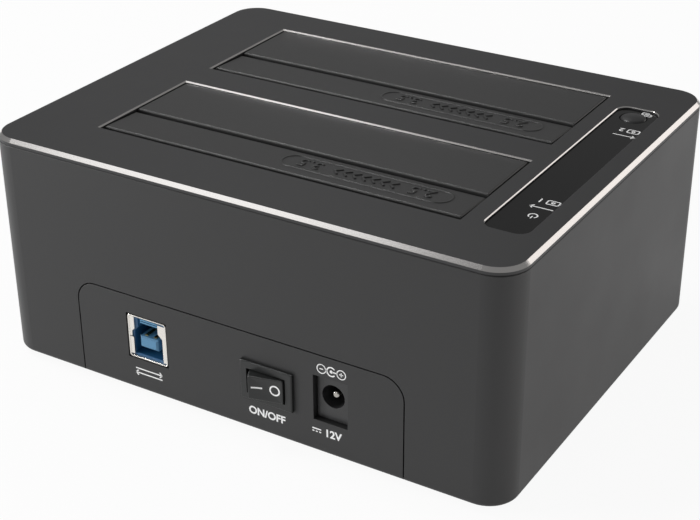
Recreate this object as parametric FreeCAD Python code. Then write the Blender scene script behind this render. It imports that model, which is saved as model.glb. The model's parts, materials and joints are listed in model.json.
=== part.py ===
import FreeCAD, Part
import math
import os

# Two-bay drive duplicator dock. Millimetres, +Z up, X along the case, the drive bays' flaps on top,
# the ports on the rear (+Y). The case is modelled about its own middle and then moved forward by half
# of what the power switch stands proud, so that the origin is the bottom centre of the whole object.

# ---- case ----
CASE_LENGTH = 149.0
CASE_DEPTH = 118.0
CASE_HEIGHT = 64.0
CASE_CORNER_R = 8.0
SHELL_WALL = 2.4
DECK_T = 2.2
BOTTOM_EDGE_R = 1.2
SHADOW_CHAMFER = 0.4
FOOT_STAND = 1.5

# ---- top plate ----
PLATE_T = 1.6
PLATE_CHAMFER = 0.9
BAY_CHAMFER = 0.35
STRIP_CHAMFER = 0.22

# ---- drive bays ----
BAY_END_LAND = 22.5
BAY_REAR_LAND = 18.0
BAY_MIDDLE_LAND = 11.6
BAY_FRONT_LAND = 14.4
FRONT_GUIDE_IN = 5.2
DRIVE_SIDE_CLEAR = 0.4
WELL_WALL = 1.6
WELL_RELIEF = 0.2
WELL_FLOOR_Z = 17.5
WELL_TOP_GAP = 0.1
WELL_DECK_GAP = 0.15
LEDGE_DROP = 1.5
LEDGE_SLOPE = 4.0
EAR_WIDTH = 9.0
EAR_REACH = 7.4
EAR_T = 2.0
EAR_DROP = 4.2
EAR_OUTER_IN = 14.0
EAR_INNER_IN = 30.0
EAR_SCREW_LENGTH = 5.0
CONNECTOR_SLOT_GAP = 0.6

# ---- flaps, their pins and springs ----
FLAP_T = 2.6
FLAP_DROP = 0.25
NARROW_EXTRA_DROP = 0.05
NARROW_SLANT_DEG = 2.5
NARROW_WIDTH = 14.8
FLAP_GAP = 0.5
NARROW_EDGE_GAP = 0.9
NARROW_TRIM = 0.7
FLAP_MID_GAP = 1.0
FLAP_RISE = 2.3
FLAP_BEVEL = 0.3
KNUCKLE_R = 1.7
PIN_R = 0.6
PIN_RUN = 0.05
PIN_SEAT = 0.02
PIN_END_IN = 0.3
SPRING_WIRE_R = 0.175
SPRING_BORE_GAP = 0.15
SPRING_TURNS = 6
SPRING_LEG = 6.0
SPRING_IN = 12.0
SPRING_LEG_R = 0.14
SPRING_LEG_LAP = 0.3
SPRING_NOTCH = 5.0
SPRING_NOTCH_GAP = 0.1
LABEL_IN = 6.5
LABEL_LENGTH = 47.0
LABEL_WIDTH = 7.6
LABEL_END_R = 3.7
LABEL_RIB = 0.5
LABEL_RAISE = 0.15

# ---- control strip ----
STRIP_WIDTH = 11.2
STRIP_SIDE_LAND = 6.1
STRIP_REAR_LAND = 17.9
STRIP_FRONT_LAND = 18.8
STRIP_CORNER_R = 3.0
STRIP_GAP = 0.1
STRIP_DROP = 0.6
BUTTON_IN = 5.4
BUTTON_R = 3.5
BUTTON_GAP = 0.12
BUTTON_DOME = 0.6
BUTTON_TRAVEL = 0.8
BUTTON_FLANGE_R = 4.6
BUTTON_FLANGE_T = 1.0
BUTTON_SEAT_GAP = 0.05
GUIDE_R = 1.25
GUIDE_GAP = 0.03
POWER_LAMP_IN = 7.6
FIRST_LAMP_IN = 22.6
SECOND_LAMP_IN = 20.7
LED_GAP = 0.3

# ---- control board under the strip ----
CONTROL_BOARD_DROP = 6.7
CONTROL_BOARD_WIDTH = 12.6
CONTROL_BOARD_LAND = 17.0
REAR_BOSS_IN = 15.1
FRONT_BOSS_IN = 36.2
TACT_SIZE = 6.0
TACT_HEIGHT = 3.5
PLUNGER_R = 1.75
PLUNGER_GAP = 0.06
PLUNGER_IN = 1.6
LED_SIZE = 3.0

# ---- base, feet and screws ----
BASE_GAP = 0.15
BASE_FLOOR_T = 2.2
PANEL_WIDTH = 97.0
PANEL_TOP_Z = 29.4
PANEL_CORNER_R = 6.0
PANEL_T = 2.2
PANEL_SEAM = 0.35
POST_SIDE_IN = 12.5
POST_FACE_IN = 12.0
POST_R = 3.8
POST_SEAT_R = 6.5
POST_SEAT_Z = 6.2
FOOT_R = 6.0
FOOT_RECESS = 0.8
FOOT_RECESS_GAP = 0.1
FOOT_EDGE_R = 0.5
SCREW_R = 1.25
SCREW_HEAD_R = 2.4
SCREW_HEAD_T = 1.6
SCREW_HOLE_GAP = 0.02
SCREW_PASS_GAP = 0.2
SCREW_LENGTH = 7.0
BOARD_SCREW_LENGTH = 6.0
BASE_SCREW_LENGTH = 12.0
BOSS_R = 2.8

# ---- main board ----
BOARD_T = 1.6
BOARD_TOP_Z = 11.0
BOARD_SIDE_LAND = 18.5
BOARD_FRONT_LAND = 15.0
BOARD_REAR_GAP = 0.5
LOBE_SIDE_LAND = 6.5
LOBE_WIDTH = 24.0
BOARD_SCREW_SIDE_IN = 6.0
BOARD_SCREW_FRONT_IN = 5.0
BOARD_SCREW_REAR_IN = 9.0

# ---- ports ----
PORT_GAP = 0.3
USB_X = 26.5
USB_WIDTH = 12.1
USB_HEIGHT = 12.4
USB_DEPTH = 17.6
USB_WALL = 0.4
USB_LIFT = 0.2
USB_CAVITY_WIDTH = 9.2
USB_CAVITY_HEIGHT = 7.8
USB_SLOT_WIDTH = 6.6
USB_CAVITY_TOTAL = 10.4
USB_SHOULDER = 1.3
USB_CAVITY_DEPTH = 9.0
USB_TONGUE_WIDTH = 5.6
USB_TONGUE_HEIGHT = 3.2
USB_TONGUE_IN = 0.5
USB_TONGUE_CHAMFER = 0.45
USB_CONTACT_T = 0.15
USB_CONTACT_IN = 1.0
USB_CONTACT_WIDTH = 1.0
USB_FINE_WIDTH = 0.6
USB_FINE_PITCH = 1.2
USB_FINE_COUNT = 5
USB_TAB_IN = 10.6
USB_TAB_WIDTH = 2.6
USB_TAB_GAP = 0.3
DC_X = -28.2
DC_WIDTH = 9.0
DC_HEIGHT = 12.0
DC_FRONT_IN = 1.5
DC_FLANGE_T = 3.4
DC_DEPTH = 13.5
DC_HOLE_R = 3.15
DC_HOLE_DEPTH = 10.0
DC_HOLE_Z = 17.7
DC_PIN_R = 1.0
DC_PIN_IN = 0.9
SWITCH_X = -10.3
SWITCH_Z = 16.2
BEZEL_WIDTH = 15.0
BEZEL_HEIGHT = 10.8
BEZEL_PROUD = 1.0
BEZEL_CHAMFER = 0.25
BEZEL_WALL = 1.9
SWITCH_BODY_WALL = 0.9
SWITCH_BODY_DEPTH = 11.5
ROCKER_CLEAR = 0.25
ROCKER_THROW_DEG = 26.0
ROCKER_TIP = 3.9
ROCKER_DISH = 0.7
ROCKER_TAPER = 0.8
ROCKER_SHOULDER = 0.9
ROCKER_SHOULDER_IN = 0.15
ROCKER_SKIRT = 1.6
ROCKER_SKIRT_IN = 0.25
ROCKER_ROOT = 3.0
ROCKER_ROOT_HALF = 1.4
ROCKER_PIVOT_IN = 1.3
TRUNNION_R = 0.9
TRUNNION_RUN = 0.05
TRUNNION_REACH = 0.6
TERMINAL_T = 0.8
TERMINAL_W = 1.2
TERMINAL_OUT = 2.2
LEAD_TAIL = 1.0

# ---- drive connectors ----
SATA_LENGTH = 42.6
SATA_WIDTH = 6.0
SATA_RISE = 4.6
SATA_MIDDLE_IN = 34.6
SATA_FACE_OFFSET = 3.5
SATA_SLOT_WIDTH = 2.4
SATA_SLOT_DEPTH = 6.0
SATA_POWER_LENGTH = 21.0
SATA_DATA_LENGTH = 11.0
SATA_PITCH = 1.27
SATA_CONTACT_T = 0.3

# ---- link between the boards ----
LINK_IN = 20.2
LINK_WIDTH = 12.0
LINK_DEPTH = 5.0
LINK_HEIGHT = 4.0
RIBBON_WIDTH = 9.0
RIBBON_T = 0.9
RIBBON_STRAIGHT = 4.0
RIBBON_BEND_DEG = 35.0

# ---- parts on the main board ----
CHIP_ROW_IN = 6.5
CHIP_T = 1.2
CHIP_LEG = 0.5
CHIP_LEGS_A_SIDE = 7
BRIDGE_CHIP_X = 6.0
BRIDGE_CHIP_SIZE = 10.0
DUPLICATOR_CHIP_X = 28.0
DUPLICATOR_CHIP_SIZE = 7.0
FLASH_CHIP_X = -12.0
FLASH_CHIP_SIZE = 5.0
FLASH_CHIP_T = 1.5
CRYSTAL_X = 18.5
CRYSTAL_BELOW_ROW = 5.5
CRYSTAL_SIZE = 3.6
CRYSTAL_T = 1.1
REGULATOR_ABOVE_ROW = 5.5
REGULATOR_INS = (10.0, 22.0)
REGULATOR_LENGTH = 6.5
REGULATOR_WIDTH = 6.0
REGULATOR_T = 2.3
INDUCTOR_INS = (20.0, 32.0)
INDUCTOR_FRONT_IN = 6.0
INDUCTOR_SIZE = 7.0
INDUCTOR_T = 4.0
CAPACITOR_REAR_IN = 15.5
CAPACITOR_FROM_USB = 16.0
CAPACITOR_FROM_DC = 13.8
CAPACITOR_R = 3.15
CAPACITOR_HEIGHT = 7.7

# ---- worked out from the values above ----
DECK_TOP_Z = CASE_HEIGHT - PLATE_T
DECK_LOW_Z = DECK_TOP_Z - DECK_T
BASE_LOW_Z = FOOT_STAND
BASE_TOP_Z = BASE_LOW_Z + BASE_FLOOR_T
REAR_Y = CASE_DEPTH / 2
BAY_LENGTH = CASE_LENGTH - 2 * BAY_END_LAND
BAY_WIDTH = (CASE_DEPTH - BAY_REAR_LAND - BAY_MIDDLE_LAND - BAY_FRONT_LAND) / 2
REAR_BAY_Y = REAR_Y - BAY_REAR_LAND - BAY_WIDTH / 2
FRONT_BAY_Y = -REAR_Y + BAY_FRONT_LAND + BAY_WIDTH / 2
# What is left between a bay's guides takes the drive and its side clearance.
DRIVE_SLOT = BAY_WIDTH - NARROW_EDGE_GAP - KNUCKLE_R - FLAP_RISE - FRONT_GUIDE_IN
EAR_TOP_Z = DECK_LOW_Z - EAR_DROP
EAR_OUTER_X = BAY_LENGTH / 2 - EAR_OUTER_IN
EAR_INNER_X = BAY_LENGTH / 2 - EAR_INNER_IN
SPRING_X = BAY_LENGTH / 2 - SPRING_IN
LABEL_X = -(BAY_LENGTH / 2 - LABEL_IN - LABEL_LENGTH / 2)
SATA_X = -BAY_LENGTH / 2 + SATA_MIDDLE_IN
STRIP_X = -CASE_LENGTH / 2 + STRIP_SIDE_LAND + STRIP_WIDTH / 2
STRIP_NEAR_Y = REAR_Y - STRIP_REAR_LAND
STRIP_FAR_Y = -REAR_Y + STRIP_FRONT_LAND
BUTTON_Y = STRIP_FAR_Y + BUTTON_IN
GUIDE_YS = (STRIP_NEAR_Y - POWER_LAMP_IN, STRIP_NEAR_Y - FIRST_LAMP_IN, STRIP_FAR_Y + SECOND_LAMP_IN)
CONTROL_BOARD_TOP_Z = DECK_LOW_Z - CONTROL_BOARD_DROP
CONTROL_BOARD_HALF_LENGTH = REAR_Y - CONTROL_BOARD_LAND
CONTROL_BOSS_YS = (STRIP_NEAR_Y - REAR_BOSS_IN, STRIP_FAR_Y + FRONT_BOSS_IN)
LINK_Y = STRIP_FAR_Y + LINK_IN
POST_X = CASE_LENGTH / 2 - POST_SIDE_IN
POST_Y = REAR_Y - POST_FACE_IN
BOARD_LOW_Z = BOARD_TOP_Z - BOARD_T
BOARD_HALF_LENGTH = CASE_LENGTH / 2 - BOARD_SIDE_LAND
BOARD_FRONT_Y = -REAR_Y + BOARD_FRONT_LAND
BOARD_SCREW_X = BOARD_HALF_LENGTH - BOARD_SCREW_SIDE_IN
BOARD_SCREW_YS = (BOARD_FRONT_Y + BOARD_SCREW_FRONT_IN, REAR_Y - BOARD_SCREW_REAR_IN)
CHIP_ROW_Y = REAR_BAY_Y - BAY_WIDTH / 2 - CHIP_ROW_IN
ROCKER_HALF = BEZEL_WIDTH / 2 - BEZEL_WALL - ROCKER_CLEAR
ROCKER_FACE_HALF = ROCKER_HALF - ROCKER_TAPER
ROCKER_REST = math.radians(ROCKER_THROW_DEG / 2)
ROCKER_PIVOT_Y = REAR_Y - ROCKER_PIVOT_IN
# The raised end of the rocker is the furthest point to the rear.
REAR_PROUD = (
    ROCKER_PIVOT_Y - REAR_Y
    + ROCKER_FACE_HALF * math.sin(ROCKER_REST) + ROCKER_TIP * math.cos(ROCKER_REST)
)
TO_ORIGIN = FreeCAD.Vector(0, -REAR_PROUD / 2, 0)


def vec(x, y, z):
    """A point or direction."""
    return FreeCAD.Vector(x, y, z)


def block(x0, x1, y0, y1, z0, z1):
    """A box between two corners."""
    return Part.makeBox(x1 - x0, y1 - y0, z1 - z0, vec(x0, y0, z0))


def block_at(x, y, z0, length, width, height):
    """A box standing on z0, centred on x and y."""
    return block(x - length / 2, x + length / 2, y - width / 2, y + width / 2, z0, z0 + height)


def rod(r, x, y, z0, z1):
    """An upright round bar."""
    return Part.makeCylinder(r, z1 - z0, vec(x, y, z0))


def rod_x(r, x0, x1, y, z):
    """A round bar along X."""
    return Part.makeCylinder(r, x1 - x0, vec(x0, y, z), vec(1, 0, 0))


def rod_y(r, x, y0, y1, z):
    """A round bar along Y."""
    return Part.makeCylinder(r, y1 - y0, vec(x, y0, z), vec(0, 1, 0))


def along(edge, axis):
    """True for a straight edge parallel to X (0), Y (1) or Z (2)."""
    box = edge.BoundBox
    spans = (box.XLength, box.YLength, box.ZLength)
    return spans[axis] > 1e-6 and all(spans[i] < 1e-6 for i in range(3) if i != axis)


def level_edges(shape, z):
    """The edges that lie wholly at height z."""
    return [e for e in shape.Edges if max(abs(e.BoundBox.ZMin - z), abs(e.BoundBox.ZMax - z)) < 1e-6]


def rounded_block(x0, x1, y0, y1, z0, z1, r):
    """A box with its four upright edges rounded."""
    body = block(x0, x1, y0, y1, z0, z1)
    return body.makeFillet(r, [e for e in body.Edges if along(e, 2)])


def profile_x(points, x0, x1):
    """A closed outline of (y, z) points carried along X."""
    ring = [vec(x0, y, z) for y, z in points]
    return Part.Face(Part.makePolygon(ring + ring[:1])).extrude(vec(x1 - x0, 0, 0))


def profile_y(points, y0, y1):
    """A closed outline of (x, z) points carried along Y."""
    ring = [vec(x, y0, z) for x, z in points]
    return Part.Face(Part.makePolygon(ring + ring[:1])).extrude(vec(0, y1 - y0, 0))


def profile_z(points, z0, z1):
    """A closed outline of (x, y) points carried up Z."""
    ring = [vec(x, y, z0) for x, y in points]
    return Part.Face(Part.makePolygon(ring + ring[:1])).extrude(vec(0, 0, z1 - z0))


def group(shapes):
    """Separate solids that share one node."""
    return Part.makeCompound(shapes)


def export(name, shape):
    """Move a finished piece to the object's frame and write it."""
    moved = shape.copy()
    moved.translate(TO_ORIGIN)
    moved.exportStep("parts/" + name + ".step")


def bevelled_opening(x0, x1, y0, y1, z0, r, chamfer):
    """The cutter of a plate opening with corner radius r and a 45 degree chamfer round its top edge."""
    top = CASE_HEIGHT
    if r > 0:
        hole = rounded_block(x0, x1, y0, y1, z0, top + 1, r)
        flare = rounded_block(x0 - chamfer, x1 + chamfer, y0 - chamfer, y1 + chamfer,
                              top - chamfer, top + 1, r + chamfer)
    else:
        hole = block(x0, x1, y0, y1, z0, top + 1)
        flare = block(x0 - chamfer, x1 + chamfer, y0 - chamfer, y1 + chamfer, top - chamfer, top + 1)
    flare = flare.makeChamfer(chamfer, level_edges(flare, top - chamfer))
    return hole.fuse(flare)


def screw_up(x, y, seat_z, length):
    """A pan-head screw driven upwards: its head hangs below seat_z and its shank rises from it."""
    head = rod(SCREW_HEAD_R, x, y, seat_z - SCREW_HEAD_T, seat_z)
    head = head.makeFillet(SCREW_HEAD_T / 3, level_edges(head, seat_z - SCREW_HEAD_T))
    slot = block_at(x, y, seat_z - SCREW_HEAD_T, SCREW_HEAD_R * 1.2, SCREW_HEAD_R / 4, SCREW_HEAD_T / 2)
    cross = block_at(x, y, seat_z - SCREW_HEAD_T, SCREW_HEAD_R / 4, SCREW_HEAD_R * 1.2, SCREW_HEAD_T / 2)
    return head.fuse(rod(SCREW_R, x, y, seat_z - SCREW_HEAD_T / 2, seat_z + length)).cut(slot.fuse(cross))


def screw_down(x, y, seat_z, length):
    """The same screw driven downwards from seat_z."""
    screw = screw_up(x, y, seat_z, length)
    screw.rotate(vec(x, y, seat_z), vec(1, 0, 0), 180)
    return screw


# ---- bays: both share one set of sizes and differ only in their place ----

def bay_limits(bay_y):
    """The front and rear edges of a bay's opening in the plate."""
    return bay_y - BAY_WIDTH / 2, bay_y + BAY_WIDTH / 2


def narrow_axis(bay_y):
    """The y and z of the narrow flap's hinge, along the rear edge of the opening."""
    y = bay_limits(bay_y)[1] - NARROW_EDGE_GAP - KNUCKLE_R
    return y, CASE_HEIGHT - FLAP_DROP - NARROW_EXTRA_DROP - FLAP_RISE


def wide_axis(bay_y):
    """The y and z of the wide flap's hinge, along the front edge of the opening."""
    y = bay_limits(bay_y)[0] + FLAP_GAP + KNUCKLE_R
    return y, CASE_HEIGHT - FLAP_DROP - FLAP_RISE


def flap_split(bay_y):
    """The y halfway between the two flaps' free edges."""
    return bay_limits(bay_y)[1] - NARROW_WIDTH


def drive_slot(bay_y):
    """The front and rear faces that guide a drive, just inside the open narrow flap."""
    rear = narrow_axis(bay_y)[0] - FLAP_RISE
    return rear - DRIVE_SLOT, rear


def connector_y(bay_y):
    """The middle of a bay's drive connector, a set distance from the drive's guided face."""
    return drive_slot(bay_y)[1] - DRIVE_SIDE_CLEAR - SATA_FACE_OFFSET


def well_outline(bay_y, grow, top_z, floor_z):
    """The (y, z) outline of a bay's hollow, grown outwards by a wall's thickness."""
    low, high = bay_limits(bay_y)
    front_guide, rear_guide = drive_slot(bay_y)
    narrow_end_z = narrow_axis(bay_y)[1] - (narrow_axis(bay_y)[0] - flap_split(bay_y)) - LEDGE_DROP
    wide_end_z = wide_axis(bay_y)[1] - (flap_split(bay_y) - wide_axis(bay_y)[0]) - LEDGE_DROP
    return [
        (low - WELL_RELIEF - grow, top_z),
        (low - WELL_RELIEF - grow, wide_end_z - grow),
        (front_guide - grow, wide_end_z - LEDGE_SLOPE - grow),
        (front_guide - grow, floor_z),
        (rear_guide + grow, floor_z),
        (rear_guide + grow, narrow_end_z - LEDGE_SLOPE - grow),
        (high + WELL_RELIEF + grow, narrow_end_z - grow),
        (high + WELL_RELIEF + grow, top_z),
    ]


def well_half_length():
    """Half the inside length of a bay's well."""
    return BAY_LENGTH / 2 + WELL_RELIEF


def ear_places(bay_y):
    """The screw ears of a well as (x, wall y, direction): the two wells' ears pass each other."""
    low, high = bay_limits(bay_y)
    front_wall = low - WELL_RELIEF - WELL_WALL
    rear_wall = high + WELL_RELIEF + WELL_WALL
    front_x = EAR_INNER_X if bay_y > 0 else EAR_OUTER_X
    places = [(side * front_x, front_wall, -1) for side in (-1, 1)]
    return places + [(side * EAR_OUTER_X, rear_wall, 1) for side in (-1, 1)]


def bay_well(bay_y):
    """A moulded well: funnel walls, drive guides, a floor with the connector's slot, hinge sockets, ears."""
    inner_x = well_half_length()
    outer_x = inner_x + WELL_WALL
    top_z = DECK_TOP_Z - WELL_TOP_GAP
    body = profile_x(well_outline(bay_y, WELL_WALL, top_z, WELL_FLOOR_Z - WELL_WALL), -outer_x, outer_x)
    hollow = profile_x(well_outline(bay_y, 0, top_z + 1, WELL_FLOOR_Z), -inner_x, inner_x)
    body = body.cut(hollow)
    for x, wall_y, way in ear_places(bay_y):
        far_y = wall_y + way * EAR_REACH
        ear = block(x - EAR_WIDTH / 2, x + EAR_WIDTH / 2, min(wall_y, far_y), max(wall_y, far_y),
                    EAR_TOP_Z - EAR_T, EAR_TOP_Z)
        screw_y = wall_y + way * EAR_REACH / 2
        hole = rod(SCREW_R + SCREW_PASS_GAP, x, screw_y, EAR_TOP_Z - EAR_T - 1, EAR_TOP_Z + 1)
        body = body.fuse(ear).cut(hole)
    slot = block_at(SATA_X, connector_y(bay_y), WELL_FLOOR_Z - WELL_WALL - 1,
                    SATA_LENGTH + 2 * CONNECTOR_SLOT_GAP, SATA_WIDTH + 2 * CONNECTOR_SLOT_GAP, WELL_WALL + 2)
    body = body.cut(slot)
    for y, z in (narrow_axis(bay_y), wide_axis(bay_y)):
        body = body.cut(rod_x(PIN_R + PIN_SEAT, -outer_x - 1, outer_x + 1, y, z))
    return body.removeSplitter()


def spring_outer_r():
    """The outside radius of a hinge spring's coil."""
    return PIN_R + SPRING_BORE_GAP + 2 * SPRING_WIRE_R


def flap(axis, free_y, trim=0):
    """A flap: a slab over its hinge, a knuckle below bored for the pin, and the springs' notches.

    The slab's hinged edge stops short of the knuckle's side by trim.
    """
    y, z = axis
    half = BAY_LENGTH / 2 - FLAP_GAP
    top_z = z + FLAP_RISE
    hinged_y = y + math.copysign(KNUCKLE_R - trim, y - free_y)
    slab = block(-half, half, min(hinged_y, free_y), max(hinged_y, free_y), top_z - FLAP_T, top_z)
    slab = slab.makeChamfer(FLAP_BEVEL, level_edges(slab, top_z))
    body = slab.fuse(rod_x(KNUCKLE_R, -half, half, y, z))
    body = body.cut(rod_x(PIN_R + PIN_RUN, -half - 1, half + 1, y, z))
    notch_r = spring_outer_r() + SPRING_NOTCH_GAP
    for side in (-1, 1):
        x0 = side * SPRING_X - SPRING_NOTCH / 2
        notch = rod_x(notch_r, x0, x0 + SPRING_NOTCH, y, z)
        under = block(x0, x0 + SPRING_NOTCH, y - KNUCKLE_R - 1, y + KNUCKLE_R + 1, z - KNUCKLE_R - 1, z)
        body = body.cut(notch.fuse(under))
    return body.removeSplitter()


def label_rib(bay_y):
    """The raised rounded outline on a narrow flap."""
    y = (narrow_axis(bay_y)[0] + flap_split(bay_y)) / 2
    top_z = narrow_axis(bay_y)[1] + FLAP_RISE
    half_l = LABEL_LENGTH / 2
    half_w = LABEL_WIDTH / 2
    outer = rounded_block(LABEL_X - half_l, LABEL_X + half_l, y - half_w, y + half_w,
                          top_z - FLAP_T / 2, top_z + LABEL_RAISE, LABEL_END_R)
    inner_l = half_l - LABEL_RIB
    inner_w = half_w - LABEL_RIB
    inner = rounded_block(LABEL_X - inner_l, LABEL_X + inner_l, y - inner_w, y + inner_w,
                          top_z - FLAP_T, top_z + LABEL_RAISE + 1, LABEL_END_R - LABEL_RIB)
    return outer.cut(inner)


def narrow_flap(bay_y):
    """The rear flap of a bay, which a thin drive pushes down alone. It rests a little low at its free edge."""
    y, z = narrow_axis(bay_y)
    body = flap((y, z), flap_split(bay_y) + FLAP_MID_GAP / 2, NARROW_TRIM)
    body = body.fuse(label_rib(bay_y)).removeSplitter()
    body.rotate(vec(0, y, z), vec(1, 0, 0), NARROW_SLANT_DEG)
    return body


def wide_flap(bay_y):
    """The front flap of a bay, which a thick drive pushes down with the narrow one."""
    return flap(wide_axis(bay_y), flap_split(bay_y) - FLAP_MID_GAP / 2)


def hinge_pin(axis):
    """A steel pin through a flap's knuckle, its ends in the well's end walls."""
    reach = well_half_length() + WELL_WALL - PIN_END_IN
    return rod_x(PIN_R, -reach, reach, *axis)


def torsion_spring(axis, toward, side):
    """A close-wound coil round the pin: one leg faces the well's wall, the other lifts the flap."""
    y, z = axis
    coil_r = PIN_R + SPRING_BORE_GAP + SPRING_WIRE_R
    pitch = 2 * SPRING_WIRE_R
    x0 = side * SPRING_X - SPRING_TURNS * SPRING_WIRE_R
    x1 = x0 + SPRING_TURNS * pitch
    bore_z = z + coil_r - SPRING_WIRE_R
    outline = [vec(x1, y, bore_z), vec(x0, y, bore_z), vec(x0, y, z + coil_r)]
    for turn in range(SPRING_TURNS):
        x = x0 + turn * pitch
        crest_z = z + coil_r + SPRING_WIRE_R
        outline.append(vec(x + SPRING_WIRE_R * 0.5, y, crest_z))
        outline.append(vec(x + SPRING_WIRE_R * 1.5, y, crest_z))
        outline.append(vec(x + pitch, y, z + coil_r))
    outline.append(outline[0])
    coil = Part.Face(Part.makePolygon(outline)).revolve(vec(x0, y, z), vec(1, 0, 0), 360)
    wall_start = vec(x0 + SPRING_WIRE_R, y + toward * SPRING_LEG_LAP, z - coil_r)
    wall_leg = Part.makeCylinder(SPRING_LEG_R, KNUCKLE_R + SPRING_LEG_LAP, wall_start, vec(0, -toward, 0))
    lift_start = vec(x1 - SPRING_WIRE_R, y - toward * SPRING_LEG_LAP, z - coil_r)
    lift_leg = Part.makeCylinder(SPRING_LEG_R, SPRING_LEG + SPRING_LEG_LAP, lift_start, vec(0, toward, 0))
    return coil.fuse([wall_leg, lift_leg])


# ---- outer case ----

def top_plate():
    """The anodised plate: bright chamfers round its rim, both bay openings and the strip's slot."""
    half_l = CASE_LENGTH / 2
    half_d = CASE_DEPTH / 2
    plate = rounded_block(-half_l, half_l, -half_d, half_d, DECK_TOP_Z, CASE_HEIGHT, CASE_CORNER_R)
    plate = plate.makeChamfer(PLATE_CHAMFER, level_edges(plate, CASE_HEIGHT))
    for bay_y in (REAR_BAY_Y, FRONT_BAY_Y):
        low, high = bay_limits(bay_y)
        plate = plate.cut(bevelled_opening(-BAY_LENGTH / 2, BAY_LENGTH / 2, low, high,
                                           DECK_TOP_Z - 1, 0, BAY_CHAMFER))
    half_w = STRIP_WIDTH / 2
    return plate.cut(bevelled_opening(STRIP_X - half_w, STRIP_X + half_w, STRIP_FAR_Y, STRIP_NEAR_Y,
                                      DECK_TOP_Z - 1, STRIP_CORNER_R, STRIP_CHAMFER))


def panel_block(y0, y1, z0, inset):
    """The rear panel's outline, with its two upper corners rounded, between y0 and y1."""
    half = PANEL_WIDTH / 2 - inset
    body = block(-half, half, y0, y1, z0, PANEL_TOP_Z - inset)
    corners = [e for e in body.Edges if along(e, 1) and e.BoundBox.ZMin > z0 + 1e-6]
    return body.makeFillet(PANEL_CORNER_R - inset, corners)


def upper_shell():
    """The case's outer moulding: four walls, the deck under the plate, and its posts and bosses."""
    half_l = CASE_LENGTH / 2
    half_d = CASE_DEPTH / 2
    shell = rounded_block(-half_l, half_l, -half_d, half_d, BASE_LOW_Z, DECK_TOP_Z, CASE_CORNER_R)
    shell = shell.makeFillet(BOTTOM_EDGE_R, level_edges(shell, BASE_LOW_Z))
    shell = shell.makeChamfer(SHADOW_CHAMFER, level_edges(shell, DECK_TOP_Z))
    shell = shell.cut(rounded_block(-half_l + SHELL_WALL, half_l - SHELL_WALL,
                                    -half_d + SHELL_WALL, half_d - SHELL_WALL,
                                    BASE_LOW_Z - 1, DECK_LOW_Z, CASE_CORNER_R - SHELL_WALL))
    shell = shell.cut(panel_block(REAR_Y - SHELL_WALL - 1, REAR_Y + 1, BASE_LOW_Z - 1, 0))
    grow = WELL_RELIEF + WELL_WALL + WELL_DECK_GAP
    opening_x = BAY_LENGTH / 2 + grow
    for bay_y in (REAR_BAY_Y, FRONT_BAY_Y):
        low, high = bay_limits(bay_y)
        shell = shell.cut(block(-opening_x, opening_x, low - grow, high + grow,
                                DECK_LOW_Z - 1, DECK_TOP_Z + 1))
        for x, wall_y, way in ear_places(bay_y):
            y = wall_y + way * EAR_REACH / 2
            shell = shell.fuse(rod(BOSS_R, x, y, EAR_TOP_Z, DECK_LOW_Z))
            shell = shell.cut(rod(SCREW_R + SCREW_HOLE_GAP, x, y, EAR_TOP_Z - 1, DECK_LOW_Z + DECK_T / 2))
    for y in CONTROL_BOSS_YS:
        shell = shell.fuse(rod(BOSS_R, STRIP_X, y, CONTROL_BOARD_TOP_Z, DECK_LOW_Z))
        shell = shell.cut(rod(SCREW_R + SCREW_HOLE_GAP, STRIP_X, y, CONTROL_BOARD_TOP_Z - 1,
                              DECK_LOW_Z + DECK_T / 2))
    for y in GUIDE_YS:
        shell = shell.cut(rod(GUIDE_R + GUIDE_GAP, STRIP_X, y, DECK_LOW_Z - 1, DECK_TOP_Z + 1))
    shell = shell.cut(rod(BUTTON_R + BUTTON_GAP, STRIP_X, BUTTON_Y, DECK_LOW_Z - 1, DECK_TOP_Z + 1))
    for x, y in corner_places():
        shell = shell.fuse(rod(POST_R, x, y, POST_SEAT_Z, DECK_LOW_Z))
        shell = shell.cut(rod(SCREW_R + SCREW_HOLE_GAP, x, y, POST_SEAT_Z - 1,
                              base_screw_seat() + BASE_SCREW_LENGTH + 1))
    return shell.removeSplitter()


def corner_places():
    """The four corners where a post, its screw and a foot share one axis."""
    return [(sx * POST_X, sy * POST_Y) for sx in (-1, 1) for sy in (-1, 1)]


def foot_top_z():
    """The top of a foot in its recess."""
    return BASE_LOW_Z + FOOT_RECESS


def base_screw_seat():
    """The height at which a base screw's head bears, above its foot."""
    return foot_top_z() + FOOT_RECESS_GAP + SCREW_HEAD_T


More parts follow.
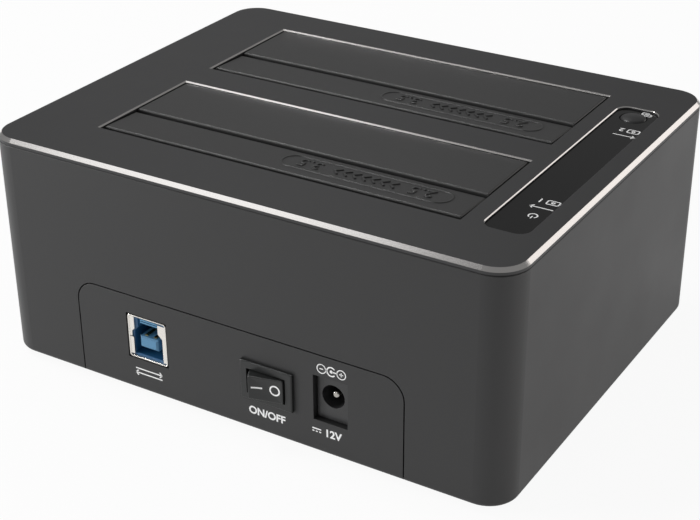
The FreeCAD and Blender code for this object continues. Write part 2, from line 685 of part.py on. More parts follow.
def base_tray():
    """The base: a floor inside the shell's walls, board bosses, foot recesses and the rear port panel."""
    inset = SHELL_WALL + BASE_GAP
    half_l = CASE_LENGTH / 2 - inset
    half_d = CASE_DEPTH / 2 - inset
    body = rounded_block(-half_l, half_l, -half_d, half_d, BASE_LOW_Z, BASE_TOP_Z, CASE_CORNER_R - inset)
    panel = panel_block(REAR_Y - PANEL_T, REAR_Y, BASE_LOW_Z, PANEL_SEAM)
    rear_low = [e for e in level_edges(panel, BASE_LOW_Z) if abs(e.BoundBox.Center.y - REAR_Y) < 1e-6]
    panel = panel.makeFillet(BOTTOM_EDGE_R, rear_low)
    half_p = PANEL_WIDTH / 2 - PANEL_SEAM
    body = body.fuse(block(-half_p, half_p, half_d - SHELL_WALL, REAR_Y - PANEL_T, BASE_LOW_Z, BASE_TOP_Z))
    body = body.fuse(panel)
    for x, y in corner_places():
        body = body.fuse(rod(POST_SEAT_R, x, y, BASE_LOW_Z, POST_SEAT_Z))
        body = body.cut(rod(FOOT_R + FOOT_RECESS_GAP, x, y, BASE_LOW_Z - 1, foot_top_z()))
        body = body.cut(rod(SCREW_HEAD_R + SCREW_PASS_GAP, x, y, BASE_LOW_Z, base_screw_seat()))
        body = body.cut(rod(SCREW_R + SCREW_PASS_GAP, x, y, BASE_LOW_Z, POST_SEAT_Z + 1))
    for x, y in board_screw_places():
        body = body.fuse(rod(BOSS_R, x, y, BASE_TOP_Z, BOARD_LOW_Z))
        body = body.cut(rod(SCREW_R + SCREW_HOLE_GAP, x, y, BASE_TOP_Z, BOARD_LOW_Z + 1))
    usb_low, usb_high = usb_z()
    half_u = USB_WIDTH / 2 + PORT_GAP
    body = body.cut(block(USB_X - half_u, USB_X + half_u, REAR_Y - PANEL_T - 1, REAR_Y + 1,
                          usb_low - PORT_GAP, usb_high + PORT_GAP))
    body = body.cut(block(DC_X - DC_WIDTH / 2 - PORT_GAP, DC_X + DC_WIDTH / 2 + PORT_GAP,
                          REAR_Y - PANEL_T - 1, REAR_Y + 1,
                          BOARD_TOP_Z - PORT_GAP, BOARD_TOP_Z + DC_HEIGHT + PORT_GAP))
    half_w, half_h = switch_body_half()
    body = body.cut(block(SWITCH_X - half_w - PORT_GAP / 2, SWITCH_X + half_w + PORT_GAP / 2,
                          REAR_Y - PANEL_T - 1, REAR_Y + 1,
                          SWITCH_Z - half_h - PORT_GAP / 2, SWITCH_Z + half_h + PORT_GAP / 2))
    return body.removeSplitter()


def rubber_foot(x, y):
    """A round stick-on foot, set into its recess over the screw."""
    foot = rod(FOOT_R, x, y, 0, foot_top_z())
    return foot.makeFillet(FOOT_EDGE_R, level_edges(foot, 0))


# ---- control strip ----

def status_window():
    """The gloss black strip in the plate's slot, bored for the button."""
    half = STRIP_WIDTH / 2 - STRIP_GAP
    window = rounded_block(STRIP_X - half, STRIP_X + half, STRIP_FAR_Y + STRIP_GAP, STRIP_NEAR_Y - STRIP_GAP,
                           DECK_TOP_Z, CASE_HEIGHT - STRIP_DROP, STRIP_CORNER_R - STRIP_GAP)
    return window.cut(rod(BUTTON_R + BUTTON_GAP, STRIP_X, BUTTON_Y, DECK_TOP_Z - 1, CASE_HEIGHT + 1))


def plunger_top_z():
    """Where the button's stem meets the tact switch's plunger."""
    return CONTROL_BOARD_TOP_Z + TACT_HEIGHT + BUTTON_TRAVEL + PLUNGER_GAP


def clone_button():
    """The button: a domed cap with a flange that the deck holds down."""
    edge_z = CASE_HEIGHT - STRIP_DROP
    cap = rod(BUTTON_R, STRIP_X, BUTTON_Y, plunger_top_z(), edge_z)
    ball_r = (BUTTON_R ** 2 + BUTTON_DOME ** 2) / (2 * BUTTON_DOME)
    ball = Part.makeSphere(ball_r, vec(STRIP_X, BUTTON_Y, edge_z + BUTTON_DOME - ball_r))
    dome = ball.common(rod(BUTTON_R, STRIP_X, BUTTON_Y, edge_z, edge_z + BUTTON_DOME + 1))
    flange_top = DECK_LOW_Z - BUTTON_SEAT_GAP
    flange = rod(BUTTON_FLANGE_R, STRIP_X, BUTTON_Y, flange_top - BUTTON_FLANGE_T, flange_top)
    return cap.fuse([dome, flange]).removeSplitter()


def tact_switch():
    """The tact switch's body, soldered under the button."""
    body = block_at(STRIP_X, BUTTON_Y, CONTROL_BOARD_TOP_Z, TACT_SIZE, TACT_SIZE, TACT_HEIGHT)
    well_z = plunger_top_z() - BUTTON_TRAVEL - PLUNGER_IN - 2 * BUTTON_TRAVEL
    return body.cut(rod(PLUNGER_R + PLUNGER_GAP, STRIP_X, BUTTON_Y, well_z, CASE_HEIGHT))


def tact_plunger():
    """The tact switch's plunger, which the button rests on and pushes."""
    top = plunger_top_z()
    return rod(PLUNGER_R, STRIP_X, BUTTON_Y, top - BUTTON_TRAVEL - PLUNGER_IN, top)


def control_board():
    """The narrow board under the strip, screwed to the deck's bosses."""
    half = CONTROL_BOARD_WIDTH / 2
    board = block(STRIP_X - half, STRIP_X + half, -CONTROL_BOARD_HALF_LENGTH, CONTROL_BOARD_HALF_LENGTH,
                  CONTROL_BOARD_TOP_Z - BOARD_T, CONTROL_BOARD_TOP_Z)
    for y in CONTROL_BOSS_YS:
        board = board.cut(rod(SCREW_R + SCREW_PASS_GAP, STRIP_X, y, CONTROL_BOARD_TOP_Z - BOARD_T - 1,
                              CONTROL_BOARD_TOP_Z + 1))
    return board


def status_led(y):
    """A surface-mounted lamp under its light guide."""
    return block_at(STRIP_X, y, CONTROL_BOARD_TOP_Z, LED_SIZE, LED_SIZE, LED_SIZE / 2)


def light_guide(y):
    """A clear rod from a lamp to the strip's underside."""
    return rod(GUIDE_R, STRIP_X, y, CONTROL_BOARD_TOP_Z + LED_SIZE / 2 + LED_GAP, DECK_TOP_Z)


# ---- link between the boards ----

def link_connectors():
    """The two white plugs of the link, under the control board and on the main board's lobe."""
    upper_z = CONTROL_BOARD_TOP_Z - BOARD_T - LINK_HEIGHT
    upper = block_at(STRIP_X, LINK_Y, upper_z, LINK_DEPTH, LINK_WIDTH, LINK_HEIGHT)
    return group([upper, block_at(STRIP_X, LINK_Y, BOARD_TOP_Z, LINK_DEPTH, LINK_WIDTH, LINK_HEIGHT)])


def ribbon_line(top, low, grow):
    """One side of the ribbon, as edges: a straight end, a bow of three equal arcs for slack, a straight end.

    grow moves the side outwards (+) or inwards (-) from the ribbon's middle line.
    """
    bend = math.radians(RIBBON_BEND_DEG)
    start_z = top - RIBBON_STRAIGHT
    end_z = low + RIBBON_STRAIGHT
    r = (start_z - end_z) / (4 * math.sin(bend))
    centre_x = STRIP_X - r
    bow_x = STRIP_X - 2 * r * (1 - math.cos(bend)) + grow
    out = r + grow
    y = LINK_Y - RIBBON_WIDTH / 2

    def on_arc(z, angle):
        return vec(centre_x + out * math.cos(angle), y, z - out * math.sin(angle))

    upper = [on_arc(start_z, 0), on_arc(start_z, bend / 2), on_arc(start_z, bend)]
    lower = [on_arc(end_z, -bend), on_arc(end_z, -bend / 2), on_arc(end_z, 0)]
    return [
        Part.LineSegment(vec(centre_x + out, y, top), upper[0]).toShape(),
        Part.Arc(*upper).toShape(),
        Part.Arc(upper[2], vec(bow_x, y, (top + low) / 2), lower[0]).toShape(),
        Part.Arc(*lower).toShape(),
        Part.LineSegment(lower[2], vec(centre_x + out, y, low)).toShape(),
    ]


def link_ribbon():
    """The flat cable between the two plugs."""
    top = CONTROL_BOARD_TOP_Z - BOARD_T - LINK_HEIGHT
    low = BOARD_TOP_Z + LINK_HEIGHT
    y = LINK_Y - RIBBON_WIDTH / 2
    half_t = RIBBON_T / 2
    edges = ribbon_line(top, low, half_t) + ribbon_line(top, low, -half_t)
    for z in (top, low):
        edges.append(Part.LineSegment(vec(STRIP_X - half_t, y, z), vec(STRIP_X + half_t, y, z)).toShape())
    return Part.Face(Part.Wire(Part.__sortEdges__(edges))).extrude(vec(0, RIBBON_WIDTH, 0))


# ---- main board and what stands on it ----

def board_screw_places():
    """The four screws of the main board."""
    return [(sx * BOARD_SCREW_X, y) for sx in (-1, 1) for y in BOARD_SCREW_YS]


def usb_z():
    """The lowest and highest z of the data port's shell."""
    low = BOARD_TOP_Z + USB_LIFT
    return low, low + USB_HEIGHT


def terminal_places():
    """The x of the power switch's two terminals."""
    return (SWITCH_X - BEZEL_WIDTH / 4, SWITCH_X + BEZEL_WIDTH / 4)


def terminal_y():
    """The y of the terminals' downward legs."""
    return REAR_Y - SWITCH_BODY_DEPTH - TERMINAL_OUT


def main_board():
    """The main board with a lobe out to the link, its screw holes and the ports' solder holes."""
    rear = REAR_Y - PANEL_T - BOARD_REAR_GAP
    board = block(-BOARD_HALF_LENGTH, BOARD_HALF_LENGTH, BOARD_FRONT_Y, rear, BOARD_LOW_Z, BOARD_TOP_Z)
    lobe_x = -CASE_LENGTH / 2 + LOBE_SIDE_LAND
    board = board.fuse(block(lobe_x, -BOARD_HALF_LENGTH, LINK_Y - LOBE_WIDTH / 2, LINK_Y + LOBE_WIDTH / 2,
                             BOARD_LOW_Z, BOARD_TOP_Z))
    for x, y in board_screw_places():
        board = board.cut(rod(SCREW_R + SCREW_PASS_GAP, x, y, BOARD_LOW_Z - 1, BOARD_TOP_Z + 1))
    for x in terminal_places():
        board = board.cut(rod(TERMINAL_W, x, terminal_y(), BOARD_LOW_Z - 1, BOARD_TOP_Z + 1))
    for side in (-1, 1):
        x = USB_X + side * (USB_WIDTH / 2 - USB_WALL / 2)
        board = board.cut(block_at(x, usb_tab_y(), BOARD_LOW_Z - 1, USB_WALL + 2 * USB_TAB_GAP,
                                   USB_TAB_WIDTH + 2 * USB_TAB_GAP, BOARD_T + 2))
    return board.removeSplitter()


def usb_tab_y():
    """The middle of the data port's solder tabs along its depth."""
    return REAR_Y - USB_TAB_IN


def usb_mouth(grow):
    """The (x, z) outline of the port's mouth: a wide lower part and a narrower slot above it."""
    low = usb_z()[0] + (USB_HEIGHT - USB_CAVITY_TOTAL) / 2 - grow
    top = low + USB_CAVITY_TOTAL + 2 * grow
    shoulder = low + USB_CAVITY_HEIGHT + grow
    half = USB_CAVITY_WIDTH / 2 + grow
    slot = USB_SLOT_WIDTH / 2 + grow
    return [
        (USB_X - half, low), (USB_X + half, low), (USB_X + half, shoulder - USB_SHOULDER),
        (USB_X + slot, shoulder), (USB_X + slot, top), (USB_X - slot, top),
        (USB_X - slot, shoulder), (USB_X - half, shoulder - USB_SHOULDER),
    ]


def usb_shell():
    """The data port's folded steel shell, with its mouth, open back and two solder tabs."""
    low, high = usb_z()
    half = USB_WIDTH / 2
    back = REAR_Y - USB_DEPTH
    shell = block(USB_X - half, USB_X + half, back, REAR_Y, low, high)
    shell = shell.cut(block(USB_X - half + USB_WALL, USB_X + half - USB_WALL, back - 1, REAR_Y - USB_WALL,
                            low + USB_WALL, high - USB_WALL))
    shell = shell.cut(profile_y(usb_mouth(USB_WALL / 2), REAR_Y - 2 * USB_WALL, REAR_Y + 1))
    for side in (-1, 1):
        x = USB_X + side * (half - USB_WALL / 2)
        shell = shell.fuse(block_at(x, usb_tab_y(), BOARD_LOW_Z - LEAD_TAIL, USB_WALL, USB_TAB_WIDTH,
                                    low + USB_WALL - BOARD_LOW_Z + LEAD_TAIL))
    return shell.removeSplitter()


def usb_insulator():
    """The data port's blue moulding: a block that fills the shell, its cavity and the contact tongue."""
    low, high = usb_z()
    half = USB_WIDTH / 2 - USB_WALL - SCREW_HOLE_GAP
    face = REAR_Y - USB_WALL - SCREW_HOLE_GAP
    lift = USB_WALL + SCREW_HOLE_GAP
    body = block(USB_X - half, USB_X + half, REAR_Y - USB_DEPTH, face, low + lift, high - lift)
    body = body.cut(profile_y(usb_mouth(0), face - USB_CAVITY_DEPTH, REAR_Y + 1))
    return body.fuse(usb_tongue()).removeSplitter()


def tongue_low_z():
    """The underside of the data port's tongue, midway up the wide part of the mouth."""
    floor = usb_z()[0] + (USB_HEIGHT - USB_CAVITY_TOTAL) / 2
    return floor + (USB_CAVITY_HEIGHT - USB_TONGUE_HEIGHT) / 2


def usb_tongue():
    """The tongue that carries the contacts."""
    low = tongue_low_z()
    half = USB_TONGUE_WIDTH / 2
    tongue = block(USB_X - half, USB_X + half, REAR_Y - USB_CAVITY_DEPTH - 1, REAR_Y - USB_TONGUE_IN,
                   low, low + USB_TONGUE_HEIGHT)
    front = [e for e in tongue.Edges if along(e, 2) and e.BoundBox.YMin > REAR_Y - USB_TONGUE_IN - 1e-6]
    return tongue.makeChamfer(USB_TONGUE_CHAMFER, front)


def usb_contacts():
    """Nine gilt strips: two above and two below the tongue, and five along the top of the slot."""
    low = tongue_low_z()
    top = low + USB_TONGUE_HEIGHT
    back = REAR_Y - USB_CAVITY_DEPTH
    front = REAR_Y - USB_TONGUE_IN - USB_CONTACT_IN
    half = USB_CONTACT_WIDTH / 2
    strips = []
    for side in (-1, 1):
        x = USB_X + side * USB_TONGUE_WIDTH / 4
        strips.append(block(x - half, x + half, back, front, low - USB_CONTACT_T, low))
        strips.append(block(x - half, x + half, back, front, top, top + USB_CONTACT_T))
    slot_top = usb_z()[0] + (USB_HEIGHT + USB_CAVITY_TOTAL) / 2
    half = USB_FINE_WIDTH / 2
    for i in range(USB_FINE_COUNT):
        x = USB_X + (i - (USB_FINE_COUNT - 1) / 2) * USB_FINE_PITCH
        strips.append(block(x - half, x + half, back, front, slot_top - USB_CONTACT_T, slot_top))
    return group(strips)


def dc_front_y():
    """The face of the power jack, set back in the panel."""
    return REAR_Y - DC_FRONT_IN


def dc_jack_body():
    """The power jack's moulding: a square front, a round-backed barrel and the plug's bore."""
    front = dc_front_y()
    half = DC_WIDTH / 2
    flange = block(DC_X - half, DC_X + half, front - DC_FLANGE_T, front, BOARD_TOP_Z, BOARD_TOP_Z + DC_HEIGHT)
    barrel_half = half - PORT_GAP
    barrel = block(DC_X - barrel_half, DC_X + barrel_half, front - DC_DEPTH, front - DC_FLANGE_T,
                   BOARD_TOP_Z, DC_HOLE_Z)
    barrel = barrel.fuse(rod_y(barrel_half, DC_X, front - DC_DEPTH, front - DC_FLANGE_T, DC_HOLE_Z))
    barrel = barrel.common(block(DC_X - half, DC_X + half, front - DC_DEPTH, front,
                                 BOARD_TOP_Z, BOARD_TOP_Z + DC_HEIGHT))
    body = flange.fuse(barrel).cut(rod_y(DC_HOLE_R, DC_X, front - DC_HOLE_DEPTH, front + 1, DC_HOLE_Z))
    body = body.cut(rod_y(DC_PIN_R + SCREW_HOLE_GAP, DC_X, front - DC_DEPTH - 1, front, DC_HOLE_Z))
    return body.removeSplitter()


def dc_jack_pin():
    """The jack's centre pin, with a rounded tip, through the back of the moulding."""
    front = dc_front_y()
    pin = rod_y(DC_PIN_R, DC_X, front - DC_DEPTH - TERMINAL_OUT, front - DC_PIN_IN, DC_HOLE_Z)
    tip = [e for e in pin.Edges if e.BoundBox.YMin > front - DC_PIN_IN - 1e-6]
    return pin.makeFillet(DC_PIN_R * 0.6, tip)


def switch_body_half():
    """Half the width and height of the switch body that passes through the panel."""
    return BEZEL_WIDTH / 2 - SWITCH_BODY_WALL, BEZEL_HEIGHT / 2 - SWITCH_BODY_WALL


def rocker_cavity_half():
    """Half the width and height of the hollow that the rocker sits in."""
    return BEZEL_WIDTH / 2 - BEZEL_WALL, BEZEL_HEIGHT / 2 - BEZEL_WALL


def rocker_frame():
    """The power switch's frame: a bevelled bezel on the panel and a snap-in body behind it."""
    face = REAR_Y + BEZEL_PROUD
    half_w = BEZEL_WIDTH / 2
    half_h = BEZEL_HEIGHT / 2
    bezel = block(SWITCH_X - half_w, SWITCH_X + half_w, REAR_Y, face, SWITCH_Z - half_h, SWITCH_Z + half_h)
    rim = [e for e in bezel.Edges if e.BoundBox.YMin > face - 1e-6]
    bezel = bezel.makeChamfer(BEZEL_CHAMFER, rim)
    body_w, body_h = switch_body_half()
    back = REAR_Y - SWITCH_BODY_DEPTH
    body = block(SWITCH_X - body_w, SWITCH_X + body_w, back, REAR_Y, SWITCH_Z - body_h, SWITCH_Z + body_h)
    cave_w, cave_h = rocker_cavity_half()
    cave = block(SWITCH_X - cave_w, SWITCH_X + cave_w, back + SWITCH_BODY_WALL, face + 1,
                 SWITCH_Z - cave_h, SWITCH_Z + cave_h)
    frame = bezel.fuse(body).cut(cave)
    reach = cave_h + TRUNNION_REACH
    return frame.cut(rod(TRUNNION_R + TRUNNION_RUN, SWITCH_X, ROCKER_PIVOT_Y,
                         SWITCH_Z - reach, SWITCH_Z + reach)).removeSplitter()


def rocker():
    """The rocker: a dished paddle on two trunnions, at rest with its O end pressed in."""
    half_h = rocker_cavity_half()[1] - ROCKER_CLEAR

    def at(x, y):
        return vec(SWITCH_X + x, ROCKER_PIVOT_Y + y, SWITCH_Z - half_h)

    ends = (at(-ROCKER_FACE_HALF, ROCKER_TIP), at(ROCKER_FACE_HALF, ROCKER_TIP))
    dish = Part.Arc(ends[0], at(0, ROCKER_TIP - ROCKER_DISH), ends[1]).toShape()
    shoulder = ROCKER_HALF - ROCKER_SHOULDER_IN
    skirt = ROCKER_HALF - ROCKER_SKIRT_IN
    back = Part.makePolygon([
        ends[1], at(shoulder, ROCKER_SHOULDER), at(skirt, -ROCKER_SKIRT), at(ROCKER_ROOT_HALF, -ROCKER_ROOT),
        at(-ROCKER_ROOT_HALF, -ROCKER_ROOT), at(-skirt, -ROCKER_SKIRT),
        at(-shoulder, ROCKER_SHOULDER), ends[0],
    ])
    paddle = Part.Face(Part.Wire([dish] + back.Edges)).extrude(vec(0, 0, 2 * half_h))
    reach = rocker_cavity_half()[1] + TRUNNION_REACH - ROCKER_CLEAR
    paddle = paddle.fuse(rod(TRUNNION_R, SWITCH_X, ROCKER_PIVOT_Y, SWITCH_Z - reach, SWITCH_Z + reach))
    paddle = paddle.removeSplitter()
    paddle.rotate(vec(SWITCH_X, ROCKER_PIVOT_Y, SWITCH_Z), vec(0, 0, 1), ROCKER_THROW_DEG / 2)
    return paddle


def switch_terminals():
    """The switch's two flat terminals, out of its back and down through the board."""
    back = REAR_Y - SWITCH_BODY_DEPTH
    half_t = TERMINAL_T / 2
    half_w = TERMINAL_W / 2
    legs = []
    for x in terminal_places():
        out = block(x - half_w, x + half_w, terminal_y() - half_t, back, SWITCH_Z - half_t, SWITCH_Z + half_t)
        down = block(x - half_w, x + half_w, terminal_y() - half_t, terminal_y() + half_t,
                     BOARD_LOW_Z - LEAD_TAIL, SWITCH_Z + half_t)
        legs.append(out.fuse(down).removeSplitter())
    return group(legs)


def sata_slots(spare):
    """The connector's power and data slots as (x0, x1), with equal walls at its ends and between them."""
    wall = (SATA_LENGTH - SATA_POWER_LENGTH - SATA_DATA_LENGTH) / 3
    left = SATA_X - SATA_LENGTH / 2 + wall
    right = SATA_X + SATA_LENGTH / 2 - wall
    power = (left + spare, left + SATA_POWER_LENGTH - spare)
    return [power, (right - SATA_DATA_LENGTH + spare, right - spare)]


def sata_connector(bay_y):
    """A drive connector: a tall black moulding with the power and data slots in its top."""
    y = connector_y(bay_y)
    top = WELL_FLOOR_Z + SATA_RISE
    body = block_at(SATA_X, y, BOARD_TOP_Z, SATA_LENGTH, SATA_WIDTH, top - BOARD_TOP_Z)
    for x0, x1 in sata_slots(0):
        body = body.cut(block(x0, x1, y - SATA_SLOT_WIDTH / 2, y + SATA_SLOT_WIDTH / 2,
                              top - SATA_SLOT_DEPTH, top + 1))
    return body


def sata_contacts(bay_y):
    """The connector's gilt contacts, in a row along one wall of each slot."""
    y = connector_y(bay_y) + SATA_SLOT_WIDTH / 2
    top = WELL_FLOOR_Z + SATA_RISE
    strips = []
    for x0, x1 in sata_slots(SATA_PITCH / 2):
        count = int((x1 - x0) / SATA_PITCH) + 1
        first = (x0 + x1) / 2 - (count - 1) * SATA_PITCH / 2
        for i in range(count):
            x = first + i * SATA_PITCH
            strips.append(block(x - SATA_PITCH / 4, x + SATA_PITCH / 4, y - SATA_CONTACT_T, y,
                                top - SATA_SLOT_DEPTH, top - SATA_PITCH))
    return group(strips)


def chip(x, size, height):
    """A square chip in the chips' row, with a row of flat legs on each side, as one solid."""
    body = block_at(x, CHIP_ROW_Y, BOARD_TOP_Z + CHIP_LEG / 2, size, size, height)
    pitch = size / (CHIP_LEGS_A_SIDE + 1)
    reach = size + 2 * CHIP_LEG
    for i in range(CHIP_LEGS_A_SIDE):
        at = (i - (CHIP_LEGS_A_SIDE - 1) / 2) * pitch
        body = body.fuse(block_at(x + at, CHIP_ROW_Y, BOARD_TOP_Z, pitch / 2, reach, CHIP_LEG))
        body = body.fuse(block_at(x, CHIP_ROW_Y + at, BOARD_TOP_Z, reach, pitch / 2, CHIP_LEG))
    return body.removeSplitter()


def clock_crystal():
    """The crystal in its small tin can, beside the chips."""
    half = CRYSTAL_SIZE / 2
    y = CHIP_ROW_Y - CRYSTAL_BELOW_ROW
    return rounded_block(CRYSTAL_X - half, CRYSTAL_X + half, y - half, y + half,
                         BOARD_TOP_Z, BOARD_TOP_Z + CRYSTAL_T, CRYSTAL_SIZE / 5)


def power_regulators():
    """The two flat regulators near the board's end."""
    y = CHIP_ROW_Y + REGULATOR_ABOVE_ROW
    xs = [-BOARD_HALF_LENGTH + inset for inset in REGULATOR_INS]
    return group([block_at(x, y, BOARD_TOP_Z, REGULATOR_LENGTH, REGULATOR_WIDTH, REGULATOR_T) for x in xs])


def power_inductors():
    """The two square inductors at the board's front edge, with rounded corners."""
    half = INDUCTOR_SIZE / 2
    y = BOARD_FRONT_Y + INDUCTOR_FRONT_IN
    xs = [BOARD_HALF_LENGTH - inset for inset in INDUCTOR_INS]
    return group([rounded_block(x - half, x + half, y - half, y + half, BOARD_TOP_Z,
                                BOARD_TOP_Z + INDUCTOR_T, INDUCTOR_SIZE / 5) for x in xs])


def power_capacitors():
    """The two round capacitors beside the ports, with rounded tops."""
    top = BOARD_TOP_Z + CAPACITOR_HEIGHT
    cans = []
    for x in (USB_X - CAPACITOR_FROM_USB, DC_X - CAPACITOR_FROM_DC):
        can = rod(CAPACITOR_R, x, REAR_Y - CAPACITOR_REAR_IN, BOARD_TOP_Z, top)
        cans.append(can.makeFillet(CAPACITOR_R / 6, level_edges(can, top)))
    return group(cans)


def build():
    """Write every piece of the dock."""
    os.makedirs("parts", exist_ok=True)
    export("top_plate", top_plate())
    export("upper_shell", upper_shell())
    export("base_tray", base_tray())
    feet = [rubber_foot(x, y) for x, y in corner_places()]
    export("rubber_feet", group(feet))
    base_screws = [screw_up(x, y, base_screw_seat(), BASE_SCREW_LENGTH) for x, y in corner_places()]
    export("base_screws", group(base_screws))

    for name, bay_y in (("rear", REAR_BAY_Y), ("front", FRONT_BAY_Y)):
        export(name + "_bay_well", bay_well(bay_y))
        export(name + "_bay_narrow_flap", narrow_flap(bay_y))
        export(name + "_bay_wide_flap", wide_flap(bay_y))
        pins = [hinge_pin(narrow_axis(bay_y)), hinge_pin(wide_axis(bay_y))]
        export(name + "_bay_hinge_pins", group(pins))
        narrow_springs = [torsion_spring(narrow_axis(bay_y), -1, side) for side in (-1, 1)]
        export(name + "_narrow_flap_springs", group(narrow_springs))
        wide_springs = [torsion_spring(wide_axis(bay_y), 1, side) for side in (-1, 1)]
        export(name + "_wide_flap_springs", group(wide_springs))
        export(name + "_drive_connector", sata_connector(bay_y))
        export(name + "_drive_contacts", sata_contacts(bay_y))
    well_screws = []
    for bay_y in (REAR_BAY_Y, FRONT_BAY_Y):
        for x, wall_y, way in ear_places(bay_y):
            y = wall_y + way * EAR_REACH / 2
            well_screws.append(screw_up(x, y, EAR_TOP_Z - EAR_T, EAR_SCREW_LENGTH))
    export("well_screws", group(well_screws))

    export("status_window", status_window())
    export("clone_button", clone_button())
    export("tact_switch", tact_switch())
    export("tact_plunger", tact_plunger())
    export("control_board", control_board())
    seat_z = CONTROL_BOARD_TOP_Z - BOARD_T
    control_screws = [screw_up(STRIP_X, y, seat_z, SCREW_LENGTH) for y in CONTROL_BOSS_YS]
    export("control_board_screws", group(control_screws))
    export("status_leds", group([status_led(y) for y in GUIDE_YS]))
    export("light_guides", group([light_guide(y) for y in GUIDE_YS]))
    export("link_connectors", link_connectors())
    export("link_ribbon", link_ribbon())

    export("main_board", main_board())
    board_screws = [screw_down(x, y, BOARD_TOP_Z, BOARD_SCREW_LENGTH) for x, y in board_screw_places()]
    export("main_board_screws", group(board_screws))
    export("usb_shell", usb_shell())
    export("usb_insulator", usb_insulator())
    export("usb_contacts", usb_contacts())
    export("dc_jack_body", dc_jack_body())
    export("dc_jack_pin", dc_jack_pin())
    export("rocker_frame", rocker_frame())
    export("rocker", rocker())
    export("switch_terminals", switch_terminals())

    export("bridge_chip", chip(BRIDGE_CHIP_X, BRIDGE_CHIP_SIZE, CHIP_T))
    export("duplicator_chip", chip(DUPLICATOR_CHIP_X, DUPLICATOR_CHIP_SIZE, CHIP_T))
    export("flash_chip", chip(FLASH_CHIP_X, FLASH_CHIP_SIZE, FLASH_CHIP_T))
    export("clock_crystal", clock_crystal())
    export("power_inductors", power_inductors())
    export("power_capacitors", power_capacitors())
    export("power_regulators", power_regulators())


build()
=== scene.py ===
import json
import math

import bmesh
import bpy
import numpy as np
from mathutils import Euler, Matrix, Vector

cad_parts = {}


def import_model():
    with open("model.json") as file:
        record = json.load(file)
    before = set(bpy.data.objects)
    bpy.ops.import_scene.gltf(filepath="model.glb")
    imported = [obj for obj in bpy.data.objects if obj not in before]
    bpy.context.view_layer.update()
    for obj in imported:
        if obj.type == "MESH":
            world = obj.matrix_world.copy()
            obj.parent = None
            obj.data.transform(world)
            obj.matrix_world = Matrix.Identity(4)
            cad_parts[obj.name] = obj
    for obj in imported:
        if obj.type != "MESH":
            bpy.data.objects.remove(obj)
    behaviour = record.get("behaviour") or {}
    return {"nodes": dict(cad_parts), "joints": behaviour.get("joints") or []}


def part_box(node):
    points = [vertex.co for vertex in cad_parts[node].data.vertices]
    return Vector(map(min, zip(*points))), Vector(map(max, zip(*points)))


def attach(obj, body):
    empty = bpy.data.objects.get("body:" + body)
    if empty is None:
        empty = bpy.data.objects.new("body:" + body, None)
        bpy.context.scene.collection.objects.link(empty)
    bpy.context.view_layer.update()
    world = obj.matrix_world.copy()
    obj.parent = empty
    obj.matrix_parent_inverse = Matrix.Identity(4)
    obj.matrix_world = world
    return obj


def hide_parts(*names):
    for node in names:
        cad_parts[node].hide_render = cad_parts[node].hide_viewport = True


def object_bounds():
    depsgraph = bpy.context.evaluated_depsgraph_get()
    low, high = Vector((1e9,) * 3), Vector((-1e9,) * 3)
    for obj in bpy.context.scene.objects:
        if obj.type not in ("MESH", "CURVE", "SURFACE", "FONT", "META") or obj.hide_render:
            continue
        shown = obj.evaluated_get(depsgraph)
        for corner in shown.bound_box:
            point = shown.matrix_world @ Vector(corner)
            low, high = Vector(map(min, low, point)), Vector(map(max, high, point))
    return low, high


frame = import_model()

MM = 0.001
nodes = frame["nodes"]
joints = {joint["name"]: joint for joint in frame["joints"]}
bays = ("rear", "front")
cad_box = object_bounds()
low, high = (Vector(corner) for corner in cad_box)


# ---- the studio: camera, pale floor and soft light ----
# The camera stands behind the dock, to the right of its ports and above it. The floor is one pale sheet
# under even light, and soft boxes hang where the plate's bright cuts and the case's faces look for them.

CAMERA_PLACE = (-0.1948, 0.31966, 0.2198)
CAMERA_HEADING = 211.5
CAMERA_PITCH = -27.9
CAMERA_ROLL = -0.4
CAMERA_LENS = 80.0
FLOOR_REACH = 12.0
FLOOR_GREY = 0.85
FLOOR_ROUGHNESS = 0.9
FLOOR_GLOW = 0.93
FLOOR_IN_GLOSS = 0.55
EVEN_LIGHT = 0.24
BACKDROP_WHITE = 0.95
WARM = (1.0, 0.95, 0.92)


def camera():
    """The camera at its place, turned by its heading, its pitch and a slight roll."""
    lens = bpy.data.cameras.new("camera")
    lens.lens = CAMERA_LENS
    lens.clip_start = 0.01
    eye = bpy.data.objects.new("camera", lens)
    turn = Euler((math.radians(90 + CAMERA_PITCH), 0, math.radians(CAMERA_HEADING))).to_matrix()
    turn = turn @ Matrix.Rotation(math.radians(CAMERA_ROLL), 3, "Z")
    eye.matrix_world = Matrix.Translation(CAMERA_PLACE) @ turn.to_4x4()
    bpy.context.scene.collection.objects.link(eye)
    bpy.context.scene.camera = eye
    bpy.context.scene.view_settings.view_transform = "Standard"


def calculated(tree, operation, *values):
    """The result of a Math node. Each value is a number, or the output that feeds that input."""
    step = tree.nodes.new("ShaderNodeMath")
    step.operation = operation
    for entry, value in zip(step.inputs, values):
        if isinstance(value, float):
            entry.default_value = value
        else:
            tree.links.new(value, entry)
    return step.outputs[0]


